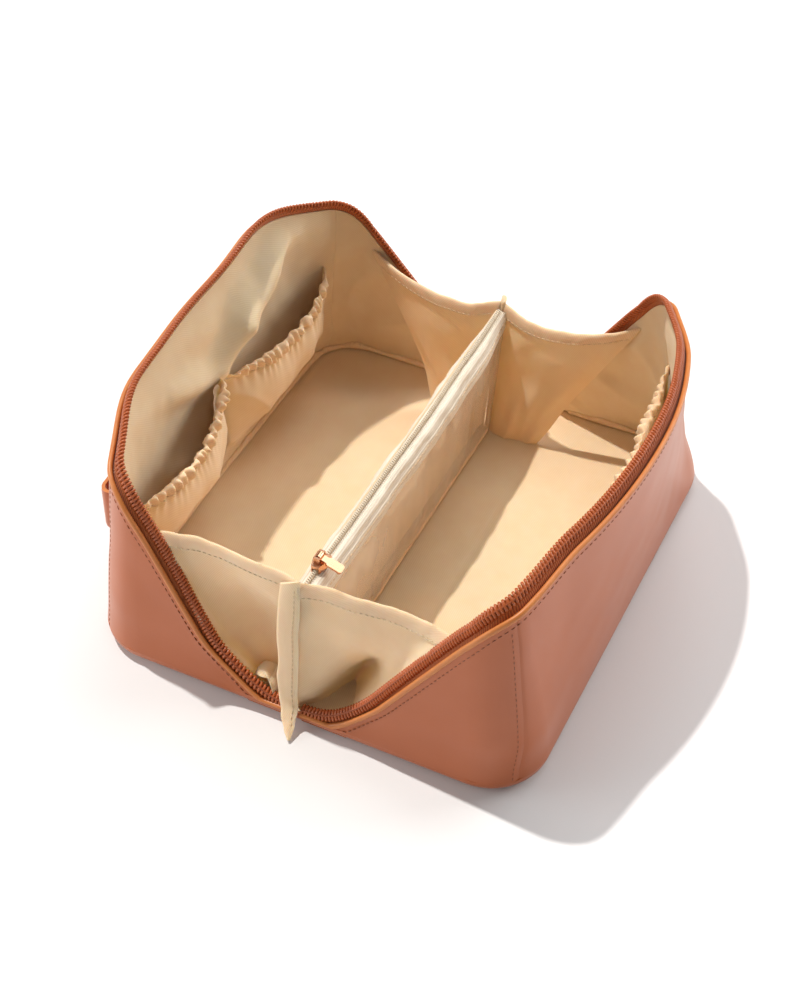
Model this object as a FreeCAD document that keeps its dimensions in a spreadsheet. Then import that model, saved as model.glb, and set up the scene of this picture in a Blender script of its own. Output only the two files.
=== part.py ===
# A soft leather case with a zip all round, standing wide open on its base.
# Millimetres, +Z up, +Y along the divider, +X from the left wall to the right wall.
# The origin is the middle of the face that the case stands on.

import FreeCAD
import Part
import Sketcher
import math
import os

SIZES = {
    # The base, seen from above, and the leather tray that it is made of.
    "base_wid": 238, "base_len": 262, "corner_rad": 30, "tray_ht": 8, "edge_rad": 7.4,
    # Sheet thicknesses, and the room left between two sheets that are sewn together.
    "leather_th": 1.6, "board_th": 5, "board_inset": 9, "stiffener_th": 1.2, "lining_th": 0.8,
    "floor_inset": 2.2, "lay_gap": 0.2, "soft_gap": 0.3,
    # How the walls lean at the height lean_ht above the tray: their middles go out, their corners in.
    "lean_ht": 110, "side_bow": 6, "corner_pull": 15, "end_pull": 10, "top_corner_rad": 24,
    # The rim: a foot along the base, a slope up each end panel, a rounded corner, then a low arch
    # along the wall.
    "rim_gap": 26, "rim_dip": 4, "rim_foot_round": 18, "rim_corner_in": 26, "rim_corner_z": 112.5,
    "rim_mid_z": 120, "rim_round": 30,
    # Where the corner seam crosses the corner, from the outside of the base.
    "seam_in_wid": 35, "seam_in_len": 35, "seam_gap": 0.3,
    # The turned leather edge, the zip tape behind it and the coil along the tape.
    "edging_ht": 3, "edging_proud": 0.6, "tape_th": 0.9, "tape_gap": 0.2,
    "tape_tuck": 7, "tape_out": 6.5, "coil_th": 2.6, "zip_half_gap": 2.6, "lining_drop": 2,
    "stiffener_drop": 8,
    # The divider pouch. Its rear end stands well in from the rear of the floor.
    "divider_z": 80, "divider_top_in": 18.5, "divider_front_in": 4.5, "divider_rear_in": 36,
    "pouch_gap": 4.4, "panel_th": 0.8, "binding_ht": 4, "binding_in": 4,
    # The sewn ends of the divider. The front one hangs out over the edge of the base.
    "flap_th": 4, "flap_in": 20, "flap_wid": 7.5, "flap_rise": 6, "flap_slant": 1, "flap_hang": 13,
    "flap_foot": 2, "flap_tip_wid": 5, "flap_knee_z": 32, "flap_knee": 6, "flap_clear": 1.2,
    # The divider's zip.
    "div_zip_in": 22.5, "div_tape_wid": 6.4, "div_tape_split": 0.6, "div_coil_rad": 1.2, "div_coil_in": 24,
    # Both zip sliders and their pulls.
    "slider_len": 10, "slider_wid": 7, "slider_nose": 4, "slider_roof": 1.6, "run_gap": 0.4,
    "ear_th": 1.2, "ear_off": 2.6, "ear_wid": 3.2, "ear_ht": 3.6, "pin_rise": 2.4, "pin_rad": 0.7,
    "eye_rad": 1.8, "pull_len": 12.6, "pull_wid": 5, "pull_th": 1.3, "pull_droop": 20,
    "slider_park": 7, "main_slider_rise": 5.4,
    # The gussets between the divider's ends and the sloping stretches of zip.
    "gusset_th": 0.9, "gusset_lap": 4, "gusset_z": 83, "gusset_rim_z": 88, "gusset_low": 2.4,
    "gusset_bulge": 9, "gusset_sag": 5,
    # The gathered pockets.
    "pocket_th": 1.2, "pocket_low_z": 18, "left_pocket_z": 74, "right_pocket_z": 78, "hem_ht": 6,
    "hem_th": 2.8, "pocket_low_depth": 6, "left_pocket_depth": 24, "right_pocket_depth": 15,
    "pocket_end_in": 27, "pocket_mid_gap": 3,
    # The folded carry strap on the left wall.
    "strap_th": 2.2, "strap_wid": 26, "strap_low_z": 47, "strap_len": 180, "strap_gap": 5.8,
}

doc = FreeCAD.newDocument("case")
sheet = doc.addObject("Spreadsheet::Sheet", "dims")
for row, (alias, number) in enumerate(SIZES.items(), start=1):
    sheet.set(f"A{row}", str(number))
    sheet.setAlias(f"A{row}", alias)
doc.recompute()


def size(alias):
    """The number in a cell of the sheet."""
    return float(sheet.get(alias))


def vec(x, y, z):
    return FreeCAD.Vector(x, y, z)


# Sketches, pads and primitives whose sizes stay bound to the sheet

def draw_polygon(sketch, corners):
    """A closed outline whose corners are pairs of expressions."""
    spots = [tuple(float(sketch.evalExpression(text)) for text in pair) for pair in corners]
    count = len(spots)
    for i in range(count):
        start, end = spots[i], spots[(i + 1) % count]
        sketch.addGeometry(Part.LineSegment(vec(*start, 0), vec(*end, 0)))
    for i in range(count):
        sketch.addConstraint(Sketcher.Constraint("Coincident", i, 2, (i + 1) % count, 1))
    for i in range(count):
        for k, (kind, axis) in enumerate((("DistanceX", -2), ("DistanceY", -1))):
            if abs(spots[i][k]) < 1e-9:
                sketch.addConstraint(Sketcher.Constraint("PointOnObject", i, 1, axis))
                continue
            index = sketch.addConstraint(Sketcher.Constraint(kind, -1, 1, i, 1, spots[i][k]))
            sketch.setExpression(f"Constraints[{index}]", corners[i][k])


def new_sketch(body, role, corners):
    """A polygon on one of a body's own planes."""
    sketch = body.newObject("Sketcher::SketchObject", body.Label + "_sketch")
    plane = next(f for f in body.Origin.OriginFeatures if f.Role == role)
    sketch.AttachmentSupport = [(plane, "")]
    sketch.MapMode = "FlatFace"
    draw_polygon(sketch, corners)
    return sketch


def place(item, **spots):
    """Bind an object's position to expressions for x, y and z."""
    for axis, text in spots.items():
        item.setExpression(f"Placement.Base.{axis}", text)


def pad_body(label, role, corners, thick, **spots):
    """A body made by padding a polygon, with its pad."""
    body = doc.addObject("PartDesign::Body", label)
    body.Label = label
    pad = body.newObject("PartDesign::Pad", label + "_pad")
    sketch = new_sketch(body, role, corners)
    pad.Profile = sketch
    body.Tip = pad
    pad.setExpression("Length", thick)
    place(body, **spots)
    doc.recompute()
    return body, pad


def round_edges(body, feature, wanted, radius):
    """Fillet the edges of a feature that the test picks out."""
    names = [f"Edge{i}" for i, edge in enumerate(feature.Shape.Edges, start=1) if wanted(edge)]
    fillet = body.newObject("PartDesign::Fillet", body.Label + "_round")
    fillet.Base = (feature, names)
    fillet.setExpression("Radius", radius)
    doc.recompute()
    return fillet


def upright(edge):
    box = edge.BoundBox
    return box.XLength < 1e-6 and box.YLength < 1e-6


def primitive(kind, label, **bindings):
    """A Part primitive with its sizes bound to expressions."""
    item = doc.addObject("Part::" + kind, label)
    item.Label = label
    for name, text in bindings.items():
        item.setExpression(name, text)
    return item


def block(label, x, y, z, wid, length, height):
    """A box from its low corner and its sizes."""
    item = primitive("Box", label, Length=wid, Width=length, Height=height)
    place(item, x=x, y=y, z=z)
    return item


def rod(label, axis, radius, length):
    """A cylinder centred on the origin, along X or Y."""
    item = primitive("Cylinder", label, Radius=radius, Height=length)
    turn_axis, angle = {"x": (vec(0, 1, 0), 90), "y": (vec(1, 0, 0), -90)}[axis]
    item.Placement = FreeCAD.Placement(vec(0, 0, 0), FreeCAD.Rotation(turn_axis, angle))
    place(item, **{axis: f"-({length})/2"})
    return item


def join(label, items):
    item = doc.addObject("Part::MultiFuse", label)
    item.Label = label
    item.Shapes = items
    return item


def cut(label, base, tool):
    item = doc.addObject("Part::Cut", label)
    item.Label = label
    item.Base = base
    item.Tool = tool
    return item


def mirrored(label, source, normal):
    """The same piece on the other side of the case."""
    item = doc.addObject("Part::Mirroring", label)
    item.Label = label
    item.Source = source
    item.Normal = normal
    return item


def soft(label, shape):
    """A sewn sheet, whose form is worked out from the walls of the case."""
    item = doc.addObject("Part::Feature", label)
    item.Label = label
    item.Shape = shape
    item.Placement = FreeCAD.Placement()
    return item


ACROSS = vec(1, 0, 0)
ALONG = vec(0, 1, 0)

# Expressions that several pieces share
HALF_WID = "dims.base_wid / 2"
HALF_LEN = "dims.base_len / 2"
BOARD_Z = "dims.leather_th + dims.lay_gap"
FLOOR_Z = f"{BOARD_Z} + dims.board_th + dims.lay_gap"
FLOOR_TOP = f"{FLOOR_Z} + dims.lining_th"


# The base: a leather tray, the board in it and the floor lining

def rectangle(inset):
    """The outline of the base, drawn in by an inset."""
    x, y = f"({HALF_WID} - {inset})", f"({HALF_LEN} - {inset})"
    return [("-" + x, "-" + y), (x, "-" + y), (x, y), ("-" + x, y)]


def rounded_plate(label, inset, low, thick, edge_rad=None):
    """A sheet with the rounded outline of the base, and a rounded bottom edge where one is given."""
    body, pad = pad_body(label, "XY_Plane", rectangle(inset), thick, z=low)
    corners = round_edges(body, pad, upright, f"dims.corner_rad - {inset}")
    if edge_rad:
        round_edges(body, corners, lambda edge: edge.BoundBox.ZMax < 1e-6, edge_rad)
    return body


def base_tray():
    """The tray is a rounded block with a smaller one taken out of it."""
    outside = rounded_plate("base_outside", "0", "0", "dims.tray_ht", "dims.edge_rad")
    hollow = rounded_plate("base_hollow", "dims.leather_th", "dims.leather_th", "dims.tray_ht",
                           "dims.edge_rad - dims.leather_th")
    return cut("base_panel", outside, hollow)


pieces = [
    base_tray(),
    rounded_plate("base_board", "dims.board_inset", BOARD_Z, "dims.board_th"),
    rounded_plate("floor_lining", "dims.floor_inset", FLOOR_Z, "dims.lining_th"),
]


# The walls of the case as nested solids, from which every sheet is cut

half_wid = size("base_wid") / 2
half_len = size("base_len") / 2
tray_ht = size("tray_ht")
reach = size("base_wid") + size("base_len")
core_ht = 2 * size("rim_mid_z") - size("rim_corner_z") + size("tape_out") + size("coil_th")


def wall_plan(height, inset):
    """Middle of the side, end line, corner centre, corner radius and side radius at a height."""
    share = height / size("lean_ht")
    mid_x = half_wid + size("side_bow") * share - inset
    corner_x = half_wid - size("corner_pull") * share - inset
    end_y = half_len - size("end_pull") * share - inset
    rad = size("corner_rad") + (size("top_corner_rad") - size("corner_rad")) * share - inset
    centre_x, centre_y = corner_x - rad, end_y - rad
    across = centre_x - mid_x
    side_rad = math.inf
    if height > 0:
        side_rad = (rad ** 2 - across ** 2 - centre_y ** 2) / (2 * (across + rad))
    return mid_x, end_y, centre_x, centre_y, rad, side_rad


def side_x(y, height, inset):
    """How far out the side wall stands at a place along it."""
    mid_x, _, _, _, _, side_rad = wall_plan(height, inset)
    return mid_x - side_rad + math.sqrt(side_rad ** 2 - y ** 2)


def outline(height, inset):
    """The closed outline of the walls: ends, rounded corners and bowed sides, all tangent."""
    mid_x, end_y, centre_x, centre_y, rad, side_rad = wall_plan(height, inset)
    z = tray_ht + height
    turn = 0.0
    if side_rad < math.inf:
        turn = math.atan2(centre_y, centre_x - (mid_x - side_rad))
    half_turn = (turn + math.pi / 2) / 2

    def on_corner(angle, right, rear):
        x, y = centre_x + rad * math.cos(angle), centre_y + rad * math.sin(angle)
        return vec(right * x, rear * y, z)

    def corner(right, rear, outward):
        ends = [on_corner(a, right, rear) for a in (math.pi / 2, half_turn, turn)]
        return Part.Arc(*(ends if outward else ends[::-1])).toShape()

    def side(right, rear):
        start, end = on_corner(turn, right, rear), on_corner(turn, right, -rear)
        if turn == 0.0:
            return Part.LineSegment(start, end).toShape()
        return Part.Arc(start, vec(right * mid_x, 0, z), end).toShape()

    def end_line(right, rear):
        start = vec(right * centre_x, rear * end_y, z)
        return Part.LineSegment(start, vec(-start.x, start.y, z)).toShape()

    edges = [end_line(-1, -1), corner(1, -1, True), side(1, -1), corner(1, 1, False)]
    edges += [end_line(1, 1), corner(-1, 1, True), side(-1, 1), corner(-1, -1, False)]
    return Part.Wire(edges)


def core(inset):
    """Everything inside the walls' outer face, drawn in by an inset."""
    return Part.makeLoft([outline(0, inset), outline(core_ht, inset)], True, True)


def skin(outer, inner):
    """One sheet of the walls, between two insets."""
    return core(outer).cut(core(inner))


def prism(points, along):
    """A solid pushed out of a flat polygon."""
    return Part.Face(Part.makePolygon(points + points[:1])).extrude(along)


# The rim of the right half, as a profile of x and z that holds for its walls and both its ends

slope_from = (size("rim_gap"), tray_ht)
rim_corner = (half_wid - size("rim_corner_in"), size("rim_corner_z"))
rim_mid = (half_wid + size("side_bow"), size("rim_mid_z"))
slope = math.atan2(rim_corner[1] - slope_from[1], rim_corner[0] - slope_from[0])
arch = math.atan2(rim_mid[1] - rim_corner[1], rim_mid[0] - rim_corner[0])


def below_rim(lift):
    """The space under the rim of the right half, raised by a lift."""
    back = size("rim_round") * math.tan((slope - arch) / 2)
    round_x = rim_corner[0] - back * math.cos(slope) + size("rim_round") * math.sin(slope)
    round_z = rim_corner[1] - back * math.sin(slope) - size("rim_round") * math.cos(slope)
    rad = size("rim_round") + lift
    foot_z = tray_ht - size("rim_dip")
    foot_x = slope_from[0] - size("rim_dip") / math.tan(slope) - size("rim_foot_round") * math.tan(slope / 2)
    foot_rad = size("rim_foot_round") - lift

    def on_round(angle, run=0.0):
        x = round_x - rad * math.sin(angle) + run * math.cos(angle)
        return vec(x, -reach / 2, round_z + rad * math.cos(angle) + run * math.sin(angle))

    def on_foot(angle):
        x = foot_x + foot_rad * math.sin(angle)
        return vec(x, -reach / 2, foot_z + size("rim_foot_round") - foot_rad * math.cos(angle))

    far = on_round(arch, reach)
    near = vec(-reach, -reach / 2, on_foot(0).z)
    edges = [
        Part.LineSegment(near, on_foot(0)).toShape(),
        Part.Arc(on_foot(0), on_foot(slope / 2), on_foot(slope)).toShape(),
        Part.LineSegment(on_foot(slope), on_round(slope)).toShape(),
        Part.Arc(on_round(slope), on_round((slope + arch) / 2), on_round(arch)).toShape(),
        Part.LineSegment(on_round(arch), far).toShape(),
        Part.LineSegment(far, vec(far.x, far.y, -reach)).toShape(),
        Part.LineSegment(vec(far.x, far.y, -reach), vec(near.x, near.y, -reach)).toShape(),
        Part.LineSegment(vec(near.x, near.y, -reach), near).toShape(),
    ]
    return Part.Face(Part.Wire(edges)).extrude(vec(0, reach, 0))


def slope_x(z, drop):
    """Where the sloping rim, lowered by a drop, stands at a height."""
    return slope_from[0] + (z - slope_from[1]) / math.tan(slope) + drop / math.sin(slope)


seam_x = half_wid - size("seam_in_wid")
seam_y = half_len - size("seam_in_len")
wall_space = prism(
    [vec(seam_x, -seam_y, 0), vec(seam_x + reach, -seam_y - reach, 0),
     vec(seam_x + reach, seam_y + reach, 0), vec(seam_x, seam_y, 0)],
    vec(0, 0, reach),
)
seam_room = size("seam_gap") * math.sqrt(2)
front_space = prism(
    [vec(0, -seam_y, 0), vec(seam_x - seam_room, -seam_y, 0),
     vec(seam_x - seam_room + reach, -seam_y - reach, 0), vec(0, -seam_y - reach, 0)],
    vec(0, 0, reach),
)
half_space = Part.makeBox(
    reach, reach, reach, vec(size("zip_half_gap"), -reach / 2, tray_ht + size("lay_gap"))
)


# The leather walls and ends, the stiffeners and the linings

stiffener_in = size("leather_th") + size("lay_gap")
lining_in = stiffener_in + size("stiffener_th") + size("lay_gap")
inside_in = lining_in + size("lining_th")
above_tray = Part.makeBox(reach, reach, reach, vec(0, -reach / 2, tray_ht + size("lay_gap")))
leather = skin(0, size("leather_th")).common(below_rim(0))
stiffener = skin(stiffener_in, stiffener_in + size("stiffener_th"))
stiffener = stiffener.common(below_rim(-size("stiffener_drop"))).common(above_tray)
lining = skin(lining_in, inside_in).common(below_rim(-size("lining_drop"))).common(above_tray)

right_pieces = [
    soft("right_wall_panel", leather.common(wall_space)),
    soft("right_wall_stiffener", stiffener.common(wall_space)),
    soft("right_wall_lining", lining.common(wall_space)),
]
front_right_pieces = [
    soft("front_right_end_panel", leather.common(front_space)),
    soft("front_right_end_lining", lining.common(front_space)),
]


# The rim of the right half: turned edge, zip tape and coil, each one run from base to base

def rim_strip(label, outer, thick, low, high):
    """A strip along the rim, between two insets and two lifts above the leather's edge."""
    band = skin(outer, outer + thick).common(below_rim(high)).cut(below_rim(low))
    return soft(label, band.common(half_space))


tape_in = size("leather_th") + size("tape_gap")
coil_low = size("tape_out") + size("lay_gap")
coil_in = tape_in + size("tape_th") / 2 - size("coil_th") / 2
edging_th = size("leather_th") + size("edging_proud")
edging_top = size("lay_gap") + size("edging_ht")
right_pieces += [
    rim_strip("right_rim_edging", -size("edging_proud"), edging_th, size("lay_gap"), edging_top),
    rim_strip("right_zip_tape", tape_in, size("tape_th"), -size("tape_tuck"), size("tape_out")),
    rim_strip("right_zip_coil", coil_in, size("coil_th"), coil_low, coil_low + size("coil_th")),
]


# The divider pouch: two panels, the binding at the floor and the sewn ends

PANEL_X = "dims.pouch_gap / 2"
TOP_END = f"({HALF_LEN} - dims.divider_top_in)"
FRONT_END = f"({HALF_LEN} - dims.divider_front_in)"
REAR_END = f"({HALF_LEN} - dims.divider_rear_in)"
PANEL_LOW = f"{FLOOR_TOP} + dims.lay_gap"
PANEL = [("-" + TOP_END, "dims.divider_z"), (TOP_END, "dims.divider_z"),
         (REAR_END, PANEL_LOW), ("-" + FRONT_END, PANEL_LOW)]
FLAP_LOW = "dims.tray_ht + dims.flap_clear"
FLAP_TOP = "dims.divider_z + dims.flap_rise"
FLAP_HEAD = [(f"{HALF_LEN} - dims.flap_in", FLAP_TOP),
             (f"{HALF_LEN} - dims.flap_in + dims.flap_wid", FLAP_TOP + " + dims.flap_slant")]
HANG = f"{HALF_LEN} + dims.flap_hang"
FRONT_FLAP = FLAP_HEAD + [
    (f"{HALF_LEN} + dims.flap_knee", "dims.flap_knee_z"),
    (HANG, "dims.flap_foot + dims.flap_slant"),
    (f"{HANG} - dims.flap_tip_wid", "dims.flap_foot"),
    (f"{HALF_LEN} + dims.flap_clear", FLAP_LOW),
    (FRONT_END, FLAP_LOW),
]
REAR_FLAP = FLAP_HEAD + [
    (f"{REAR_END} + dims.flap_wid", FLAP_LOW),
    (REAR_END, FLAP_LOW),
]
facing_front = [(f"-({y})", z) for y, z in FRONT_FLAP]
BINDING_FRONT = f"({FRONT_END} - dims.binding_in)"
BINDING_REAR = f"({REAR_END} - dims.binding_in)"

FABRIC_X = f"-({PANEL_X}) - dims.panel_th"

pieces += [
    pad_body("divider_fabric_panel", "YZ_Plane", PANEL, "dims.panel_th", x=FABRIC_X)[0],
    pad_body("divider_clear_panel", "YZ_Plane", PANEL, "dims.panel_th", x=PANEL_X)[0],
    pad_body("divider_front_seam", "YZ_Plane", facing_front, "dims.flap_th", x="-dims.flap_th / 2")[0],
    pad_body("divider_rear_seam", "YZ_Plane", REAR_FLAP, "dims.flap_th", x="-dims.flap_th / 2")[0],
    block("divider_base_binding", "-dims.flap_th / 2", f"-{BINDING_FRONT}", PANEL_LOW,
          "dims.flap_th", f"{BINDING_FRONT} + {BINDING_REAR}", "dims.binding_ht"),
]


# The divider's zip: a tape on each side and the coil between them

TAPE_LEN = "(dims.base_len - 2 * dims.div_zip_in)"
TAPE_Z = "dims.divider_z + dims.lay_gap"
COIL_Z = f"{TAPE_Z} + dims.tape_th + dims.lay_gap + dims.div_coil_rad"
COIL_LEN = "(dims.base_len - 2 * dims.div_coil_in)"


def divider_tape(label, low_x):
    return block(label, low_x, f"-{TAPE_LEN} / 2", TAPE_Z, "dims.div_tape_wid", TAPE_LEN, "dims.tape_th")


divider_coil = rod("divider_zip_coil", "y", "dims.div_coil_rad", COIL_LEN)
place(divider_coil, z=COIL_Z)
pieces += [
    divider_tape("divider_left_tape", "-dims.div_tape_split - dims.div_tape_wid"),
    divider_tape("divider_right_tape", "dims.div_tape_split"),
    divider_coil,
]


# Zip sliders: a shield with a channel for the coil, two ears and a pin that the pull hangs on.
# A slider's own origin is the middle of the coil, with its run along Y and its face up.

CHANNEL = "dims.div_coil_rad + dims.run_gap"
SHIELD_LOW = "(dims.soft_gap - dims.div_coil_rad)"
SHIELD_TOP = f"({CHANNEL} + dims.slider_roof)"
PIN_Z = f"({SHIELD_TOP} + dims.pin_rise)"


def slider(label, pin_axis):
    """A slider whose pin lies along X or Y."""
    half, nose, end = "dims.slider_wid / 2", "dims.slider_nose / 2", "dims.slider_len / 2"
    shield = [(half, end), ("-" + half, end), ("-" + half, "0"), ("-" + nose, "-" + end),
              (nose, "-" + end), (half, "0")]
    plate = pad_body(label + "_shield", "XY_Plane", shield, f"{SHIELD_TOP} - {SHIELD_LOW}", z=SHIELD_LOW)[0]
    ears = []
    for name, sign in (("a", 1), ("b", -1)):
        off = f"({sign} * dims.ear_off - dims.ear_th / 2)"
        wid = "-dims.ear_wid / 2"
        x, y = (off, wid) if pin_axis == "x" else (wid, off)
        along, across = ("dims.ear_th", "dims.ear_wid")
        wide, long = (along, across) if pin_axis == "x" else (across, along)
        ears.append(block(f"{label}_ear_{name}", x, y, SHIELD_TOP, wide, long, "dims.ear_ht"))
    pin = rod(label + "_pin", pin_axis, "dims.pin_rad", "2 * dims.ear_off")
    place(pin, z=PIN_Z)
    channel = block(label + "_channel", f"-({CHANNEL})", "-dims.slider_len", "-dims.slider_len",
                    f"2 * ({CHANNEL})", "2 * dims.slider_len", f"dims.slider_len + {CHANNEL}")
    return cut(label, join(label + "_solid", [plate, *ears, pin]), channel)


def pull(label):
    """A pull with its eye on the Y axis, reaching out along X."""
    eye_len = "(2 * dims.ear_off - dims.ear_th - 2 * dims.soft_gap)"
    eye = rod(label + "_eye", "y", "dims.eye_rad", eye_len)
    neck = block(label + "_neck", "0", f"-{eye_len} / 2", "-dims.pull_th / 2",
                 "dims.pull_len / 2", eye_len, "dims.pull_th")
    tag, pad = pad_body(
        label + "_tag", "XY_Plane",
        [("dims.pull_len / 3", "-dims.pull_wid / 2"), ("dims.pull_len", "-dims.pull_wid / 2"),
         ("dims.pull_len", "dims.pull_wid / 2"), ("dims.pull_len / 3", "dims.pull_wid / 2")],
        "dims.pull_th", z="-dims.pull_th / 2",
    )
    round_edges(tag, pad, upright, "dims.pull_wid / 4")
    bore = rod(label + "_bore", "y", "dims.pin_rad + dims.soft_gap", "2 * dims.ear_off")
    return cut(label, join(label + "_solid", [eye, neck, tag]), bore)


divider_slider = slider("divider_slider", "y")
PARK_Y = f"-({COIL_LEN} / 2 - dims.slider_park)"
place(divider_slider, y=PARK_Y, z=COIL_Z)
divider_pull = pull("divider_pull")
divider_pull.Placement = FreeCAD.Placement(vec(0, 0, 0), FreeCAD.Rotation(ALONG, size("pull_droop")))
place(divider_pull, y=PARK_Y, z=f"{COIL_Z} + {PIN_Z}")

# The main slider waits at the rear foot of the zip, its face to the rear and its pull hanging.
COIL_IN = "dims.leather_th + dims.tape_gap + dims.tape_th / 2 - dims.coil_th / 2"
FOOT_LEAN = "dims.end_pull * (dims.tape_out - dims.rim_dip) / dims.lean_ht"
MAIN_Y = f"{HALF_LEN} - ({COIL_IN}) - {FOOT_LEAN} + dims.soft_gap - {SHIELD_LOW}"
MAIN_Z = "dims.tray_ht + dims.main_slider_rise"
main_slider = slider("main_zip_slider", "x")
main_slider.Placement = FreeCAD.Placement(vec(0, 0, 0), FreeCAD.Rotation(ACROSS, -90))
place(main_slider, y=MAIN_Y, z=MAIN_Z)
main_pull = pull("main_zip_pull")
hanging = FreeCAD.Rotation(vec(0, 0, -1), vec(-1, 0, 0), vec(0, 1, 0), "XZY")
main_pull.Placement = FreeCAD.Placement(vec(0, 0, 0), hanging)
place(main_pull, y=f"{MAIN_Y} + {PIN_Z}", z=MAIN_Z)
pieces += [divider_slider, divider_pull, main_slider, main_pull]


# The gussets on the right: each is sewn up the divider's end and to the end lining below the rim,
# and sags between them. The rear one slants in to the foot of the divider.

def end_face_y(z, inset):
    """How far along Y the rear end panel stands at a height, drawn in by an inset."""
    return half_len - size("end_pull") * (z - tray_ht) / size("lean_ht") - inset


def gusset(foot_in):
    """A gusset for the rear right, whose foot stands in from the end of the base."""
    seam_out = size("pouch_gap") / 2 + size("panel_th") + size("soft_gap")
    low_z = tray_ht + size("gusset_low")
    lap_low = vec(slope_x(low_z, size("gusset_lap")), half_len - max(foot_in, lap_in(low_z)), low_z)
    top_z = size("gusset_rim_z")
    lap_top = vec(slope_x(top_z, size("gusset_lap")), half_len - lap_in(top_z), top_z)
    seam_low = vec(seam_out, half_len - foot_in, low_z)
    seam_top = vec(seam_out, half_len - size("divider_top_in"), size("gusset_z"))
    steps = 6
    rows = []
    for i in range(steps + 1):
        up = i / steps
        seam = seam_low + (seam_top - seam_low) * up
        lap = lap_low + (lap_top - lap_low) * up
        row = []
        for j in range(steps + 1):
            over = j / steps
            belly = 4 * over * (1 - over)
            hollow = vec(0, -size("gusset_bulge") * belly * up, -size("gusset_sag") * belly * up ** 3)
            row.append(seam + (lap - seam) * over + hollow)
        rows.append(row)
    sheet_face = Part.BSplineSurface()
    sheet_face.interpolate(rows)
    return sheet_face.toShape().extrude(vec(0, -size("gusset_th"), 0))


def lap_in(z):
    """How far in from the end of the base the inside of the end lining stands at a height."""
    return half_len - end_face_y(z, inside_in + size("soft_gap"))


rear_gusset = soft("rear_right_gusset", gusset(size("divider_rear_in")))
front_gusset = soft("front_right_gusset", gusset(size("divider_front_in")).mirror(vec(0, 0, 0), ALONG))


# The gathered pockets: open cups sewn to the lining, each with an elastic hem

inside = core(inside_in + size("soft_gap"))


def cup_outline(front, rear, depth, z):
    """The D-shaped outline of a pocket at a height, open towards the wall."""
    back = min(side_x(y, z - tray_ht, inside_in) for y in (front, rear))
    behind = half_wid + reach / 4
    start, end = vec(back, front, z), vec(back, rear, z)
    return Part.Wire([
        Part.Arc(start, vec(back - depth, (front + rear) / 2, z), end).toShape(),
        Part.LineSegment(end, vec(behind, rear, z)).toShape(),
        Part.LineSegment(vec(behind, rear, z), vec(behind, front, z)).toShape(),
        Part.LineSegment(vec(behind, front, z), start).toShape(),
    ])


def pocket(front, rear, depth, top_z):
    """A pocket and its hem, for the right wall."""
    wall = size("pocket_th")
    low_z, low_depth = size("pocket_low_z"), size("pocket_low_depth")
    outer = [cup_outline(front, rear, low_depth, low_z), cup_outline(front, rear, depth, top_z)]
    inner = [cup_outline(front + wall, rear - wall, low_depth - wall, low_z + wall),
             cup_outline(front + wall, rear - wall, depth - wall, top_z)]
    cup = Part.makeLoft(outer, True, True).cut(Part.makeLoft(inner, True, True)).common(inside)
    spare = (size("hem_th") - wall) / 2
    rise = vec(0, 0, size("hem_ht"))
    wide = Part.Face(cup_outline(front - spare, rear + spare, depth + spare, top_z)).extrude(rise)
    bore = wall + spare
    narrow = Part.Face(cup_outline(front + bore, rear - bore, depth - bore, top_z)).extrude(rise)
    return cup, wide.cut(narrow).common(inside)


def on_left(shape):
    return shape.mirror(vec(0, 0, 0), ACROSS)


pocket_end = half_len - size("pocket_end_in")
pocket_mid = size("pocket_mid_gap") / 2
right_pocket, right_hem = pocket(-pocket_end, pocket_end, size("right_pocket_depth"), size("right_pocket_z"))
pieces += [soft("right_pocket", right_pocket), soft("right_pocket_hem", right_hem)]
for name, front, rear in (("front", -pocket_end, -pocket_mid), ("rear", pocket_mid, pocket_end)):
    cup, hem = pocket(front, rear, size("left_pocket_depth"), size("left_pocket_z"))
    pieces += [soft(f"left_{name}_pocket", on_left(cup)), soft(f"left_{name}_pocket_hem", on_left(hem))]


# The carry strap: one flat loop of leather along the left wall, with its ends turned over

def strap_ring(low_off, high_off, half_run):
    """A closed ring, seen from above, that follows the wall between two distances from it."""
    mid_z = size("strap_low_z") + size("strap_wid") / 2
    mid_x, _, _, _, _, side_rad = wall_plan(mid_z - tray_ht, 0)
    round_rad = (high_off - low_off) / 2
    swing = half_run / side_rad

    def spot(off, angle):
        return vec(mid_x - side_rad + (side_rad + off) * math.cos(angle),
                   (side_rad + off) * math.sin(angle), size("strap_low_z"))

    tip = swing + round_rad / side_rad
    middle = (low_off + high_off) / 2
    return Part.Wire([
        Part.Arc(spot(high_off, -swing), spot(high_off, 0), spot(high_off, swing)).toShape(),
        Part.Arc(spot(high_off, swing), spot(middle, tip), spot(low_off, swing)).toShape(),
        Part.Arc(spot(low_off, swing), spot(low_off, 0), spot(low_off, -swing)).toShape(),
        Part.Arc(spot(low_off, -swing), spot(middle, -tip), spot(high_off, -swing)).toShape(),
    ])


def strap():
    low = size("soft_gap")
    high = low + 2 * size("strap_th") + size("strap_gap")
    half_run = (size("strap_len") - high + low) / 2
    outside = Part.Face(strap_ring(low, high, half_run))
    hollow = Part.Face(strap_ring(low + size("strap_th"), high - size("strap_th"), half_run))
    loop = outside.cut(hollow).extrude(vec(0, 0, size("strap_wid")))
    return on_left(loop.cut(core(-size("soft_gap"))))


pieces.append(soft("carry_strap", strap()))


# The left half and the rear ends repeat the right half and the front end

rear_right_pieces = [mirrored(p.Label.replace("front", "rear"), p, ALONG) for p in front_right_pieces]
right_pieces += front_right_pieces + rear_right_pieces + [front_gusset, rear_gusset]
pieces += right_pieces
pieces += [mirrored(p.Label.replace("right", "left"), p, ACROSS) for p in right_pieces]
doc.recompute()

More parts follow.
